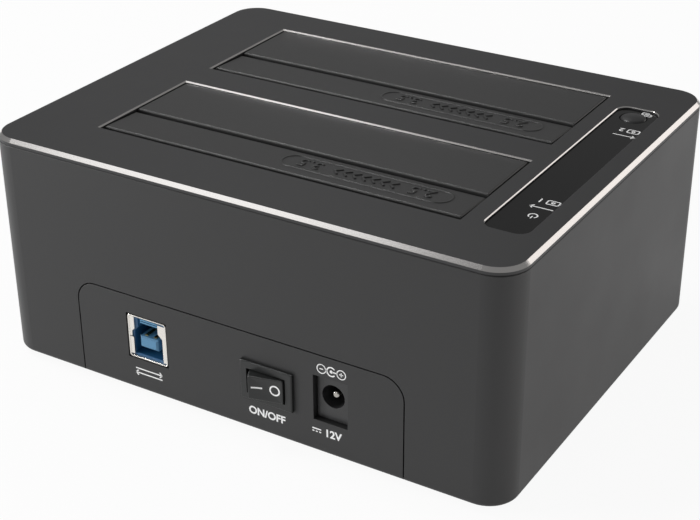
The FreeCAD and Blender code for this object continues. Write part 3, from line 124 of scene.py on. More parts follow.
def floor():
    """The pale floor, matt paper that keeps the dock's shadow: nearly white to the eye and through clear
    pieces, light grey in gloss."""
    reach = FLOOR_REACH
    mesh = bpy.data.meshes.new("floor")
    mesh.from_pydata([(-reach, -reach, 0), (reach, -reach, 0), (reach, reach, 0), (-reach, reach, 0)],
                     [], [(0, 1, 2, 3)])
    sheet = bpy.data.objects.new("floor", mesh)
    bpy.context.scene.collection.objects.link(sheet)
    paper = bpy.data.materials.new("floor_paper")
    paper.use_nodes = True
    tree = paper.node_tree
    matt = tree.nodes["Principled BSDF"]
    matt.inputs["Base Color"].default_value = (FLOOR_GREY, FLOOR_GREY, FLOOR_GREY, 1)
    matt.inputs["Roughness"].default_value = FLOOR_ROUGHNESS
    glow = tree.nodes.new("ShaderNodeEmission")
    path = tree.nodes.new("ShaderNodeLightPath")
    in_gloss = calculated(tree, "MULTIPLY", path.outputs["Is Glossy Ray"], FLOOR_IN_GLOSS)
    seen = calculated(tree, "MAXIMUM", path.outputs["Is Camera Ray"], in_gloss)
    seen = calculated(tree, "MAXIMUM", seen, path.outputs["Is Transmission Ray"])
    mix = tree.nodes.new("ShaderNodeMixShader")
    tree.links.new(calculated(tree, "MULTIPLY", seen, FLOOR_GLOW), mix.inputs[0])
    tree.links.new(matt.outputs[0], mix.inputs[1])
    tree.links.new(glow.outputs[0], mix.inputs[2])
    tree.links.new(mix.outputs[0], tree.nodes["Material Output"].inputs["Surface"])
    mesh.materials.append(paper)


def world():
    """Even light from all round, behind a backdrop that is nearly white to the eye and through clear
    pieces."""
    sky = bpy.data.worlds.new("studio")
    sky.use_nodes = True
    tree = sky.node_tree
    light = tree.nodes["Background"]
    light.inputs["Color"].default_value = (EVEN_LIGHT, EVEN_LIGHT, EVEN_LIGHT, 1)
    white = tree.nodes.new("ShaderNodeBackground")
    white.inputs["Color"].default_value = (BACKDROP_WHITE, BACKDROP_WHITE, BACKDROP_WHITE, 1)
    path = tree.nodes.new("ShaderNodeLightPath")
    seen = calculated(tree, "MAXIMUM", path.outputs["Is Camera Ray"], path.outputs["Is Transmission Ray"])
    mix = tree.nodes.new("ShaderNodeMixShader")
    tree.links.new(seen, mix.inputs[0])
    tree.links.new(light.outputs[0], mix.inputs[1])
    tree.links.new(white.outputs[0], mix.inputs[2])
    tree.links.new(mix.outputs[0], tree.nodes["World Output"].inputs["Surface"])
    bpy.context.scene.world = sky


def soft_box(name, place, width, height, power, colour=(1, 1, 1)):
    """A rectangular studio lamp that faces the dock and that the camera doesn't see."""
    lamp = bpy.data.lights.new(name, "AREA")
    lamp.shape = "RECTANGLE"
    lamp.size = width
    lamp.size_y = height
    lamp.energy = power
    lamp.color = colour
    box = bpy.data.objects.new(name, lamp)
    to_dock = (low + high) / 2 - Vector(place)
    box.matrix_world = Matrix.Translation(place) @ to_dock.to_track_quat("-Z", "Y").to_matrix().to_4x4()
    box.visible_camera = False
    bpy.context.scene.collection.objects.link(box)


camera()
floor()
world()
soft_box("rim_box", (0.90, 0.74, 1.25), 0.42, 0.42, 0.60)
soft_box("edge_box", (0.75, 0.05, 1.30), 0.35, 0.35, 8)
soft_box("port_side_box", (0.15, 1.05, 0.55), 0.50, 0.40, 1.2)
soft_box("left_box", (1.20, 0.75, 0.30), 0.40, 0.40, 14)
soft_box("top_box", (0.67, -0.91, 1.13), 0.50, 0.50, 0.9)
soft_box("far_right_box", (-0.70, -1.30, 0.50), 0.70, 0.50, 1.15, WARM)
soft_box("right_box", (-1.40, -0.10, 0.16), 0.35, 0.26, 5.5, WARM)


# ---- outer case ----
# The upper shell and the base tray with its port panel are charcoal mouldings. Their tools were finely
# spark-eroded, which leaves a satin grain, and their edges are a little rounded.

GRAIN_DETAIL = 2.0
DRIFT_PER_METRE = 45.0
DRIFT_DETAIL = 3.0
DRIFT_SHARE = 0.12
EDGE_SAMPLES = 8


def surface_grain():
    """A group: fine noise of the given size in millimetres as a height, and slow noise about zero, times the
    drift, added to the roughness."""
    group = bpy.data.node_groups.new("surface_grain", "ShaderNodeTree")
    group.interface.new_socket("Grain mm", in_out="INPUT", socket_type="NodeSocketFloat")
    group.interface.new_socket("Roughness", in_out="INPUT", socket_type="NodeSocketFloat")
    group.interface.new_socket("Drift", in_out="INPUT", socket_type="NodeSocketFloat")
    group.interface.new_socket("Roughness", in_out="OUTPUT", socket_type="NodeSocketFloat")
    group.interface.new_socket("Height", in_out="OUTPUT", socket_type="NodeSocketFloat")
    inside = group.nodes.new("NodeGroupInput")
    outside = group.nodes.new("NodeGroupOutput")
    place = group.nodes.new("ShaderNodeTexCoord")
    fine = group.nodes.new("ShaderNodeTexNoise")
    fine.inputs["Detail"].default_value = GRAIN_DETAIL
    slow = group.nodes.new("ShaderNodeTexNoise")
    slow.inputs["Scale"].default_value = DRIFT_PER_METRE
    slow.inputs["Detail"].default_value = DRIFT_DETAIL
    group.links.new(place.outputs["Object"], fine.inputs["Vector"])
    group.links.new(place.outputs["Object"], slow.inputs["Vector"])
    per_metre = calculated(group, "DIVIDE", 1 / MM, inside.outputs["Grain mm"])
    group.links.new(per_metre, fine.inputs["Scale"])
    drift = calculated(group, "SUBTRACT", slow.outputs["Fac"], 0.5)
    roughness = calculated(group, "MULTIPLY_ADD", drift, inside.outputs["Drift"], inside.outputs["Roughness"])
    group.links.new(roughness, outside.inputs["Roughness"])
    group.links.new(fine.outputs["Fac"], outside.inputs["Height"])
    return group


grain = surface_grain()


def finish(name, colour, roughness, metallic=0.0, gloss=0.5, grain_mm=0.3, depth_mm=0.004, edge_mm=0.15):
    """A material: the shared grain as bump and roughness, and edges that shade as if rounded by edge_mm."""
    material = bpy.data.materials.new(name)
    material.use_nodes = True
    tree = material.node_tree
    shader = tree.nodes["Principled BSDF"]
    shader.inputs["Base Color"].default_value = (*colour, 1)
    shader.inputs["Metallic"].default_value = metallic
    shader.inputs["Specular IOR Level"].default_value = gloss
    skin = tree.nodes.new("ShaderNodeGroup")
    skin.node_tree = grain
    skin.name = "skin"
    skin.inputs["Grain mm"].default_value = grain_mm
    skin.inputs["Roughness"].default_value = roughness
    skin.inputs["Drift"].default_value = DRIFT_SHARE
    bump = tree.nodes.new("ShaderNodeBump")
    bump.inputs["Distance"].default_value = depth_mm * MM
    tree.links.new(skin.outputs["Roughness"], shader.inputs["Roughness"])
    tree.links.new(skin.outputs["Height"], bump.inputs["Height"])
    tree.links.new(bump.outputs["Normal"], shader.inputs["Normal"])
    if edge_mm:
        edge = tree.nodes.new("ShaderNodeBevel")
        edge.samples = EDGE_SAMPLES
        edge.inputs["Radius"].default_value = edge_mm * MM
        tree.links.new(edge.outputs["Normal"], bump.inputs["Normal"])
    return material


def dress(material, *names):
    """Give CAD nodes a material."""
    for name in names:
        nodes[name].data.materials.clear()
        nodes[name].data.materials.append(material)


dress(finish("case_plastic", (0.022, 0.022, 0.0225), 0.42), "upper_shell", "base_tray")


# ---- top plate ----
# An aluminium sheet, anodised charcoal and let into the top of the shell. Its rim and its openings are cut
# at 45 degrees after dyeing, so the cuts are bright bare metal.

PLATE_DYE = (0.025, 0.025, 0.026)
PLATE_ROUGHNESS = 0.40
CUT_METAL = (0.72, 0.70, 0.685)
CUT_ROUGHNESS = 0.17
CUT_LEAN = math.sqrt(0.5)
CUT_LEAN_WITHIN = 0.12


def plate_finish():
    """The dyed finish, turned to bright metal where the normal's height is near the cosine of 45 degrees."""
    material = finish("anodised_plate", PLATE_DYE, PLATE_ROUGHNESS, grain_mm=0.2, depth_mm=0.003, edge_mm=0)
    tree = material.node_tree
    shader = tree.nodes["Principled BSDF"]
    place = tree.nodes.new("ShaderNodeTexCoord")
    parts = tree.nodes.new("ShaderNodeSeparateXYZ")
    tree.links.new(place.outputs["Normal"], parts.inputs[0])
    leans = calculated(tree, "COMPARE", parts.outputs["Z"], CUT_LEAN, CUT_LEAN_WITHIN)
    colour = tree.nodes.new("ShaderNodeMix")
    colour.data_type = "RGBA"
    colour.inputs["A"].default_value = (*PLATE_DYE, 1)
    colour.inputs["B"].default_value = (*CUT_METAL, 1)
    rough = tree.nodes.new("ShaderNodeMix")
    rough.inputs["B"].default_value = CUT_ROUGHNESS
    tree.links.new(leans, colour.inputs["Factor"])
    tree.links.new(leans, rough.inputs["Factor"])
    tree.links.new(leans, shader.inputs["Metallic"])
    tree.links.new(tree.nodes["skin"].outputs["Roughness"], rough.inputs["A"])
    tree.links.new(rough.outputs[0], shader.inputs["Roughness"])
    tree.links.new(colour.outputs["Result"], shader.inputs["Base Color"])
    return material


dress(plate_finish(), "top_plate")


# ---- feet ----
# Four round feet of black rubber with a dull, coarse skin. Each is stuck into its recess under the tray,
# over a base screw.

dress(finish("foot_rubber", (0.012, 0.012, 0.012), 0.75, grain_mm=0.5, depth_mm=0.02), "rubber_feet")


# ---- screws ----
# Pan-head screws of zinc-plated steel, cold headed and thread rolled. They hold the base, the wells and
# both boards to the case's posts and bosses.

screw_steel = finish("screw_steel", (0.55, 0.56, 0.58), 0.32, metallic=1.0, grain_mm=0.1, depth_mm=0.002,
                     edge_mm=0.08)
dress(screw_steel, "base_screws", "well_screws", "main_board_screws", "control_board_screws")


# ---- bay wells and drive connectors ----
# Each bay is lined by a deep black moulding with guides for the drive, screwed up under the deck. A black
# connector with gold-plated contacts stands in the slot in its floor.

dress(finish("well_plastic", (0.012, 0.012, 0.012), 0.5), "rear_bay_well", "front_bay_well")
connector_black = finish("connector_black", (0.010, 0.010, 0.010), 0.38, grain_mm=0.2, edge_mm=0.1)
dress(connector_black, "rear_drive_connector", "front_drive_connector")
gilt = finish("gilt_contact", (0.83, 0.60, 0.24), 0.22, metallic=1.0, grain_mm=0.1, depth_mm=0.001,
              edge_mm=0.05)
dress(gilt, "rear_drive_contacts", "front_drive_contacts")


# ---- flaps ----
# Each bay has a narrow and a wide flap of black plastic. The narrow one carries a raised label: an outline
# moulded with it, and inside that plain numbers and chevrons standing as high as the outline.

LABEL_RAISE = 0.25 * MM
LABEL_DIGIT = 4.0 * MM
LABEL_STROKE = 0.55 * MM
LABEL_X = -22.0 * MM
LABEL_NUMBER_OUT = 15.5 * MM
LABEL_BACK = 6.1 * MM
FLAP_RISE = 2.3 * MM
NARROW_SLANT = math.radians(2.5)
CHEVRON_HALF = 1.6 * MM
CHEVRON_PITCH = 2.6 * MM
CHEVRONS_A_SIDE = 3
MERGE_WITHIN = 1e-7

flap_plastic = finish("flap_plastic", (0.028, 0.028, 0.028), 0.36, edge_mm=0.3)
dress(flap_plastic, *[f"{bay}_bay_{flap}_flap" for bay in bays for flap in ("narrow", "wide")])


def skin_rings(rings, loop=False):
    """Points and faces of a surface over rings of points.

    Quads join each ring to the next. With loop the last ring joins the first; otherwise each end ring is
    closed by one flat face.
    """
    count, around = rings.shape[:2]
    index = np.arange(count * around).reshape(count, around)
    near = index if loop else index[:-1]
    far = np.roll(index, -1, 0) if loop else index[1:]
    quads = np.stack([near, np.roll(near, -1, 1), np.roll(far, -1, 1), far], -1)
    faces = quads.reshape(-1, 4).tolist()
    if not loop:
        faces += [index[0][::-1].tolist(), index[-1].tolist()]
    return rings.reshape(-1, 3), faces


def stroke(path, width, depth, loop=False):
    """A flat bar along a path in a plane: each point gives a rectangle, half a width to either side of the
    path and depth tall, and the bar is the skin over those rectangles."""
    path = np.asarray(path, float)
    ahead = np.roll(path, -1, 0) - np.roll(path, 1, 0) if loop else np.gradient(path, axis=0)
    ahead /= np.linalg.norm(ahead, axis=1, keepdims=True)
    side = np.stack([-ahead[:, 1], ahead[:, 0]], -1) * width / 2
    corners = [(path + side, 0.0), (path - side, 0.0), (path - side, depth), (path + side, depth)]
    rings = np.stack([np.column_stack([flat, np.full(len(flat), z)]) for flat, z in corners], 1)
    return skin_rings(rings, loop)


def letters(text, height, depth, weight=0.0):
    """Upright type as a solid: the outline font's shape, thickened by weight, centred, scaled to height and
    given depth."""
    curve = bpy.data.curves.new("letters", "FONT")
    curve.body = text
    curve.extrude = 0.5
    curve.offset = weight
    typed = bpy.data.objects.new("letters", curve)
    mesh = bpy.data.meshes.new_from_object(typed)
    points = np.empty(len(mesh.vertices) * 3)
    mesh.vertices.foreach_get("co", points)
    points = points.reshape(-1, 3)
    faces = [list(face.vertices) for face in mesh.polygons]
    bpy.data.objects.remove(typed)
    bpy.data.meshes.remove(mesh)
    least, most = points.min(0), points.max(0)
    scale = height / (most[1] - least[1])
    centre = (least + most) / 2
    return (points - [centre[0], centre[1], least[2]]) * [scale, scale, depth], faces


def placed(surface, origin, right, up):
    """A flat surface set in the frame: x along right, y along up, z along right x up."""
    points, faces = surface
    axes = np.array([right, up, np.cross(right, up)], float)
    return points @ axes + np.array(origin, float), faces


def piece(name, surfaces, material, body, sharp_deg=35):
    """One object of several surfaces, with doubles merged and normals outwards, that rides on a body."""
    points, faces, start = [], [], 0
    for some_points, some_faces in surfaces:
        points.append(some_points)
        faces += [[start + corner for corner in face] for face in some_faces]
        start += len(some_points)
    mesh = bpy.data.meshes.new(name)
    mesh.from_pydata(np.concatenate(points).tolist(), [], faces)
    shape = bmesh.new()
    shape.from_mesh(mesh)
    bmesh.ops.remove_doubles(shape, verts=shape.verts, dist=MERGE_WITHIN)
    bmesh.ops.recalc_face_normals(shape, faces=shape.faces)
    shape.to_mesh(mesh)
    shape.free()
    mesh.shade_smooth()
    mesh.set_sharp_from_angle(angle=math.radians(sharp_deg))
    mesh.materials.append(material)
    made = bpy.data.objects.new(name, mesh)
    bpy.context.scene.collection.objects.link(made)
    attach(made, body)
    return made


def flap_label(bay):
    """Raised numbers at both ends of the label and a row of chevrons between them, read from the front. They
    lie on the flap's face, FLAP_RISE above its hinge, which slants down a little towards the free edge."""
    _, hinge_y, hinge_z = joints[f"{bay}_narrow_flap_hinge"]["pos_m"]
    lean = Matrix.Rotation(NARROW_SLANT, 3, "X")
    middle = Vector((LABEL_X, hinge_y, hinge_z)) + lean @ Vector((0, -LABEL_BACK, FLAP_RISE))
    marks = []
    for text, x in (("2.5", -LABEL_NUMBER_OUT), ("3.5", LABEL_NUMBER_OUT)):
        points, faces = letters(text, LABEL_DIGIT, LABEL_RAISE, weight=-0.005)
        marks.append((points + [x, 0, 0], faces))
    for step in range(-CHEVRONS_A_SIDE, CHEVRONS_A_SIDE + 1):
        x = step * CHEVRON_PITCH
        tip = x + CHEVRON_HALF / 2
        for end in (-CHEVRON_HALF, CHEVRON_HALF):
            marks.append(stroke([(x - CHEVRON_HALF / 2, end), (tip, 0)], LABEL_STROKE, LABEL_RAISE))
    marks = [placed(mark, middle, (1, 0, 0), lean @ Vector((0, 1, 0))) for mark in marks]
    label = piece(f"{bay}_flap_label", marks, flap_plastic, f"{bay}_narrow_flap")


for bay in bays:
    flap_label(bay)


# ---- hinge pins and flap springs ----
# A ground steel pin carries each flap. Two springs of fine steel wire sit round it: five close turns, one
# leg against the well's wall and one under the flap.

WIRE_R = 0.165 * MM
COIL_R = 0.925 * MM
COIL_TURNS = 5
COIL_INSET = 0.19 * COIL_R
WALL_LEG = 1.7 * MM
STEPS_PER_TURN = 20

hinge_steel = finish("hinge_steel", (0.60, 0.60, 0.61), 0.22, metallic=1.0, grain_mm=0.1, depth_mm=0.001,
                     edge_mm=0.05)
dress(hinge_steel, "rear_bay_hinge_pins", "front_bay_hinge_pins")
spring_steel = finish("spring_steel", (0.42, 0.41, 0.40), 0.30, metallic=1.0, grain_mm=0.1, edge_mm=0)


def wire(path, radius, around=8):
    """A round wire that turns about X: a circle at each point of the path, square to the path's direction,
    whose first radius is that direction crossed with X."""
    ahead = np.gradient(path, axis=0)
    ahead /= np.linalg.norm(ahead, axis=1, keepdims=True)
    first = np.cross(ahead, (1.0, 0.0, 0.0))
    first /= np.linalg.norm(first, axis=1, keepdims=True)
    second = np.cross(ahead, first)
    turn = np.linspace(0, 2 * np.pi, around, endpoint=False)[:, None]
    rings = path[:, None] + radius * (np.cos(turn) * first[:, None] + np.sin(turn) * second[:, None])
    return skin_rings(rings)


def flap_spring(x0, x1, axis_y, axis_z, toward, reach_y):
    """A spring's wire: in along the wall leg below the pin, COIL_TURNS turns of a helix about the pin while
    x runs from x0 to x1, and out along the lift leg."""
    angle = -np.pi / 2 + np.linspace(0, 2 * np.pi * COIL_TURNS, STEPS_PER_TURN * COIL_TURNS + 1)
    x = np.linspace(x0 + COIL_INSET, x1 - COIL_INSET, len(angle))
    coil = np.column_stack([x, axis_y + toward * COIL_R * np.cos(angle), axis_z + COIL_R * np.sin(angle)])
    start = [x[0], axis_y - toward * WALL_LEG, axis_z - COIL_R]
    end = [x[-1], reach_y, axis_z - COIL_R]
    return wire(np.vstack([start, coil, end]), WIRE_R)


for bay in bays:
    for flap, toward in (("narrow", -1), ("wide", 1)):
        node = f"{bay}_{flap}_flap_springs"
        spring_low, spring_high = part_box(node)
        _, axis_y, axis_z = joints[f"{bay}_{flap}_flap_hinge"]["pos_m"]
        coil_length = 2 * WIRE_R * (COIL_TURNS + 1)
        reach_y = spring_low.y if toward < 0 else spring_high.y
        coils = []
        for x_end, way in ((spring_low.x, 1), (spring_high.x, -1)):
            x0, x1 = sorted((x_end, x_end + way * coil_length))
            coils.append(flap_spring(x0, x1, axis_y, axis_z, toward, reach_y))
        springs = piece(f"{bay}_{flap}_coils", coils, spring_steel, f"{bay}_{flap}_flap", sharp_deg=60)
        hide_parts(node)


# ---- status strip ----
# A gloss black strip of acrylic set into the plate's slot. Its marks are printed white and read from the
# front: the copy mark by the button, a drive mark and number for each bay, and the power mark.

INK_T = 0.02 * MM
STRIP_MARK_X = -65.0 * MM
STRIP_LINE = 0.34 * MM
STRIP_ARROW_HALF = 2.9 * MM
STRIP_ARROW_HEAD = 0.8 * MM
DRIVE_X = -1.3 * MM
NUMBER_X = 1.9 * MM
NUMBER_HEIGHT = 2.0 * MM

gloss_window = finish("gloss_window", (0.006, 0.006, 0.006), 0.12, gloss=0.3, grain_mm=2.0, depth_mm=0.001,
                      edge_mm=0.1)
dress(gloss_window, "status_window")
white_ink = finish("white_ink", (0.92, 0.92, 0.92), 0.5, grain_mm=0.1, depth_mm=0.002, edge_mm=0)


def arc(x, y, radius, start_deg=0, end_deg=360, steps=28):
    """Points round a circle from one angle to another; a whole turn leaves out its repeated last point."""
    whole = end_deg - start_deg >= 360
    turn = np.radians(np.linspace(start_deg, end_deg, steps, endpoint=not whole))
    return np.column_stack([x + radius * np.cos(turn), y + radius * np.sin(turn)])


def box_path(x, y, width, height, radius, steps=5):
    """Points round a rectangle: a quarter circle about each corner, joined by straight sides."""
    corners = [(1, 1, 0), (-1, 1, 90), (-1, -1, 180), (1, -1, 270)]
    return np.concatenate([arc(x + sx * (width / 2 - radius), y + sy * (height / 2 - radius), radius,
                               first, first + 90, steps) for sx, sy, first in corners])


def arrow(x0, x1, y, head, line):
    """A straight arrow from x0 to x1: a shaft and two barbs that meet at its tip."""
    back = x1 - math.copysign(head, x1 - x0)
    lines = [[(x0, y), (x1, y)], [(back, y + head), (x1, y)], [(back, y - head), (x1, y)]]
    return [stroke(path, line, INK_T) for path in lines]


def drive_mark(number):
    """A drive's outline with its spindle, and the bay's number beside it."""
    marks = [stroke(box_path(DRIVE_X, 0, 3.0 * MM, 2.0 * MM, 0.4 * MM), STRIP_LINE, INK_T, loop=True)]
    marks.append(stroke(arc(DRIVE_X, 0, 0.35 * MM, steps=14), STRIP_LINE, INK_T, loop=True))
    points, faces = letters(number, NUMBER_HEIGHT, INK_T, weight=0.02)
    marks.append((points + [NUMBER_X, 0, 0], faces))
    return marks


def strip_marks():
    """All the strip's marks, as (distance in mm from the strip's front end, marks about the mark line)."""
    out_arrow = arrow(-STRIP_ARROW_HALF, STRIP_ARROW_HALF, 0, STRIP_ARROW_HEAD, STRIP_LINE)
    in_arrow = arrow(STRIP_ARROW_HALF, -STRIP_ARROW_HALF, 0, STRIP_ARROW_HEAD, STRIP_LINE)
    power = [stroke(arc(0, 0, 1.05 * MM, 125, 415), STRIP_LINE, INK_T)]
    power.append(stroke([(0, 0.2 * MM), (0, 1.5 * MM)], STRIP_LINE, INK_T))
    copy = [stroke(box_path(x, y, 1.7 * MM, 1.3 * MM, 0.2 * MM), STRIP_LINE, INK_T, loop=True)
            for x, y in ((-0.45 * MM, 0.35 * MM), (0.45 * MM, -0.35 * MM))]
    return [(70.2, power), (65.6, out_arrow), (62.0, drive_mark("1")), (17.2, in_arrow),
            (13.8, drive_mark("2")), (1.5, copy)]


strip_low, strip_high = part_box("status_window")
printed = []
for from_end, marks in strip_marks():
    origin = (STRIP_MARK_X, strip_low.y + from_end * MM, strip_high.z)
    printed += [placed(mark, origin, (1, 0, 0), (0, 1, 0)) for mark in marks]
piece("strip_marks", printed, white_ink, "chassis")


# ---- button ----
# The copy button is a round moulding of satin black plastic: a slightly domed cap with a rounded shoulder,
# and a flange below that the deck holds down.

BUTTON_R = 3.5 * MM
BUTTON_SHOULDER = 0.9 * MM
BUTTON_DOME = 0.25 * MM
FLANGE_T = 1.0 * MM
FLANGE_BELOW_STRIP = 2.25 * MM

button_plastic = finish("button_plastic", (0.020, 0.020, 0.0205), 0.30, grain_mm=0.2, edge_mm=0)


def turned(profile, x, y, around=48):
    """A turned solid: each (radius, z) of the profile is a ring about the upright line through x, y."""
    profile = np.asarray(profile, float)
    turn = np.linspace(0, 2 * np.pi, around, endpoint=False)
    radius, z = profile[:, 0, None], profile[:, 1, None]
    rings = np.stack(np.broadcast_arrays(x + radius * np.cos(turn), y + radius * np.sin(turn), z), -1)
    return skin_rings(rings)


def copy_button():
    """The button's profile: flange, straight wall, a quarter-circle shoulder, then a crown that sinks below
    its middle by BUTTON_DOME times the square of the share of the way out to the shoulder."""
    button_low, button_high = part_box("clone_button")
    x, y = (button_low.x + button_high.x) / 2, (button_low.y + button_high.y) / 2
    flange_r = (button_high.x - button_low.x) / 2
    flange_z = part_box("status_window")[0].z - FLANGE_BELOW_STRIP
    foot = [(BUTTON_R, button_low.z), (BUTTON_R, flange_z - FLANGE_T), (flange_r, flange_z - FLANGE_T),
            (flange_r, flange_z), (BUTTON_R, flange_z)]
    core = BUTTON_R - BUTTON_SHOULDER
    shoulder_z = button_high.z - BUTTON_DOME - BUTTON_SHOULDER
    turn = np.linspace(0, np.pi / 2, 8)
    shoulder = np.column_stack([core + BUTTON_SHOULDER * np.cos(turn),
                                shoulder_z + BUTTON_SHOULDER * np.sin(turn)])
    across = np.linspace(1, 0.02, 10)[1:]
    crown = np.column_stack([core * across, button_high.z - BUTTON_DOME * across ** 2])
    profile = np.vstack([foot, shoulder, crown])
    cap = piece("copy_button", [turned(profile, x, y)], button_plastic, "clone_key")
    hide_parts("clone_button")


copy_button()


# ---- control board and what it carries ----
# A narrow board of green glass laminate, screwed to the deck's bosses under the strip. The tact switch and
# three white lamps are soldered to it, and clear guides bring the lamps' light up to the strip.

board_green = finish("board_laminate", (0.010, 0.075, 0.030), 0.35, grain_mm=1.2, depth_mm=0.01)
dress(board_green, "control_board", "main_board")
dress(connector_black, "tact_switch")
dress(button_plastic, "tact_plunger")
dress(finish("led_lens", (0.80, 0.78, 0.60), 0.30, grain_mm=0.4), "status_leds")
clear_guide = finish("clear_guide", (0.90, 0.92, 0.93), 0.10, depth_mm=0.0005, edge_mm=0)
guide_inputs = clear_guide.node_tree.nodes["Principled BSDF"].inputs
guide_inputs["Transmission Weight"].default_value = 0.9
guide_inputs["IOR"].default_value = 1.49
dress(clear_guide, "light_guides")
dress(finish("white_nylon", (0.70, 0.69, 0.65), 0.45), "link_connectors")


# ---- link ribbon ----
# A flat cable of ten grey PVC-covered wires side by side. It joins the two boards' link plugs, bowed
# outwards a little for slack.

RIBBON_WIRES = 10
RIBBON_T = 0.9 * MM
RIBBON_GROOVE = 0.55

ribbon_grey = finish("ribbon_pvc", (0.30, 0.30, 0.31), 0.5, grain_mm=0.4, edge_mm=0)


def link_ribbon():
    """The ribbon: an outline as thin as RIBBON_GROOVE between wires and full over them, by the size of a
    sine, carried down a line whose bow is a squared sine."""
    ribbon_low, ribbon_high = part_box("link_ribbon")
    down = np.linspace(0, 1, 41)
    bow = ribbon_high.x - ribbon_low.x - RIBBON_T
    x = ribbon_high.x - RIBBON_T / 2 - bow * np.sin(np.pi * down) ** 2
    z = ribbon_high.z + (ribbon_low.z - ribbon_high.z) * down
    across = np.linspace(0, 1, 8 * RIBBON_WIRES + 1)
    y = ribbon_low.y + (ribbon_high.y - ribbon_low.y) * across
    swell = np.abs(np.sin(np.pi * RIBBON_WIRES * across))
    half = RIBBON_T / 2 * (RIBBON_GROOVE + (1 - RIBBON_GROOVE) * swell)
    outline_x = np.concatenate([half, -half[::-1]])
    outline_y = np.concatenate([y, y[::-1]])
    rings = np.stack(np.broadcast_arrays(x[:, None] + outline_x, outline_y, z[:, None]), -1)
    ribbon = piece("ribbon_cable", [skin_rings(rings)], ribbon_grey, "chassis")
    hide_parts("link_ribbon")


link_ribbon()


# ---- main board's parts ----
# Black epoxy chips and regulators, a tinned crystal can, ferrite inductors and aluminium capacitors, all
# soldered to the green board.

dress(finish("chip_epoxy", (0.014, 0.014, 0.015), 0.42, grain_mm=0.15), "bridge_chip", "duplicator_chip",
      "flash_chip", "power_regulators")
dress(finish("ferrite", (0.035, 0.034, 0.036), 0.60, grain_mm=0.25, depth_mm=0.01), "power_inductors")
dress(finish("capacitor_can", (0.62, 0.62, 0.64), 0.28, metallic=1.0, grain_mm=0.3), "power_capacitors")
tinned = finish("tinned_steel", (0.90, 0.87, 0.82), 0.24, metallic=1.0, grain_mm=0.3, depth_mm=0.002,
                edge_mm=0.1)
dress(tinned, "clock_crystal")


# ---- data port ----
# A folded, tin-plated steel shell: a square tube with a rounded lip, whose front ends are bent in as flat
# cheeks beside the mouth. In it is a blue moulding, and a paler tongue and comb carry the gilt contacts. The
# outlines are in mm, x from the port's middle and z up from its bottom, and so are depths behind the face.

PORT_WIDTH = 12.1
PORT_HEIGHT = 12.4
PORT_DEPTH = 17.6
PORT_WALL = 0.4
PORT_CORNER_R = 0.8
LEG = [(5.65, -2.8), (6.05, -2.8), (6.05, 1.0), (5.65, 1.0)]
LEG_DEPTHS = (9.3, 11.9)
CHEEK_DEPTHS = (0.3, 0.7)
CHEEKS = [
    [(5.65, 6.0), (5.65, 11.8), (4.2, 11.8), (4.2, 8.3), (5.0, 7.5), (5.0, 6.0)],
    [(5.65, 0.8), (5.65, 5.75), (4.6, 5.75), (4.6, 0.8)],
    [(-5.65, 0.7), (-4.6, 0.7), (-4.6, 7.5), (-3.3, 8.8), (-3.3, 11.4), (-5.65, 11.4)],
]
AROUND = [(-5.63, 0.42), (5.63, 0.42), (5.63, 7.5), (5.63, 8.8), (5.63, 11.98), (-5.63, 11.98), (-5.63, 8.8),
          (-5.63, 7.5)]
MOUTH = [(-4.6, 1.0), (4.6, 1.0), (4.6, 7.5), (3.3, 8.8), (3.3, 11.4), (-3.3, 11.4), (-3.3, 8.8), (-4.6, 7.5)]
MOUTH_MIDDLE_Z = 6.2
LEAD_IN = 1.03
BODY_FACE = 0.75
LEAD_IN_END = 0.9
CAVITY_DEPTH = 9.4
TONGUE = [(-2.8, 3.3), (2.8, 3.3), (2.8, 6.5), (-2.8, 6.5)]
TONGUE_NOSE = [(-2.35, 3.75), (2.35, 3.75), (2.35, 6.05), (-2.35, 6.05)]
TONGUE_DEPTHS = (0.5, 0.95)
COMB_BARS = [(2.7, 10.8, 11.2, 0.9, 2.6), (2.7, 10.15, 10.55, 0.9, 2.6), (3.3, 10.15, 11.2, 2.6, 2.9)]

port_blue = finish("port_blue", (0.018, 0.10, 0.23), 0.35, grain_mm=0.2, edge_mm=0.1)
tongue_blue = finish("tongue_blue", (0.09, 0.25, 0.42), 0.40, grain_mm=0.2, edge_mm=0.1)
dress(gilt, "usb_contacts")


def in_port(surface):
    """From the port's frame (x from its middle, y out from its face, z up from its bottom) to the dock's."""
    points, faces = surface
    port_low, port_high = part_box("usb_shell")
    return points + [(port_low.x + port_high.x) / 2, port_high.y, port_high.z - PORT_HEIGHT * MM], faces


def prism(*sections):
    """A skin through outlines of (x, z) points, each at its own depth behind the face."""
    rings = [[(x, -depth, z) for x, z in outline] for outline, depth in sections]
    return in_port(skin_rings(np.array(rings) * MM))


def port_tube():
    """The tube: the wall's section, half round at the lip, carried round a square with rounded corners."""
    lip = np.linspace(0, np.pi, 7)
    inset = np.concatenate([[0], PORT_WALL / 2 * (1 - np.cos(lip)), [PORT_WALL]])
    depth = np.concatenate([[PORT_DEPTH], PORT_WALL / 2 * (1 - np.sin(lip)), [PORT_DEPTH]])
    rings = []
    for step, back in zip(inset, depth):
        flat = box_path(0, PORT_HEIGHT / 2, PORT_WIDTH - 2 * step, PORT_HEIGHT - 2 * step,
                        PORT_CORNER_R - step)
        rings.append(np.column_stack([flat[:, 0], np.full(len(flat), -back), flat[:, 1]]))
    return in_port(skin_rings(np.array(rings) * MM, loop=True))


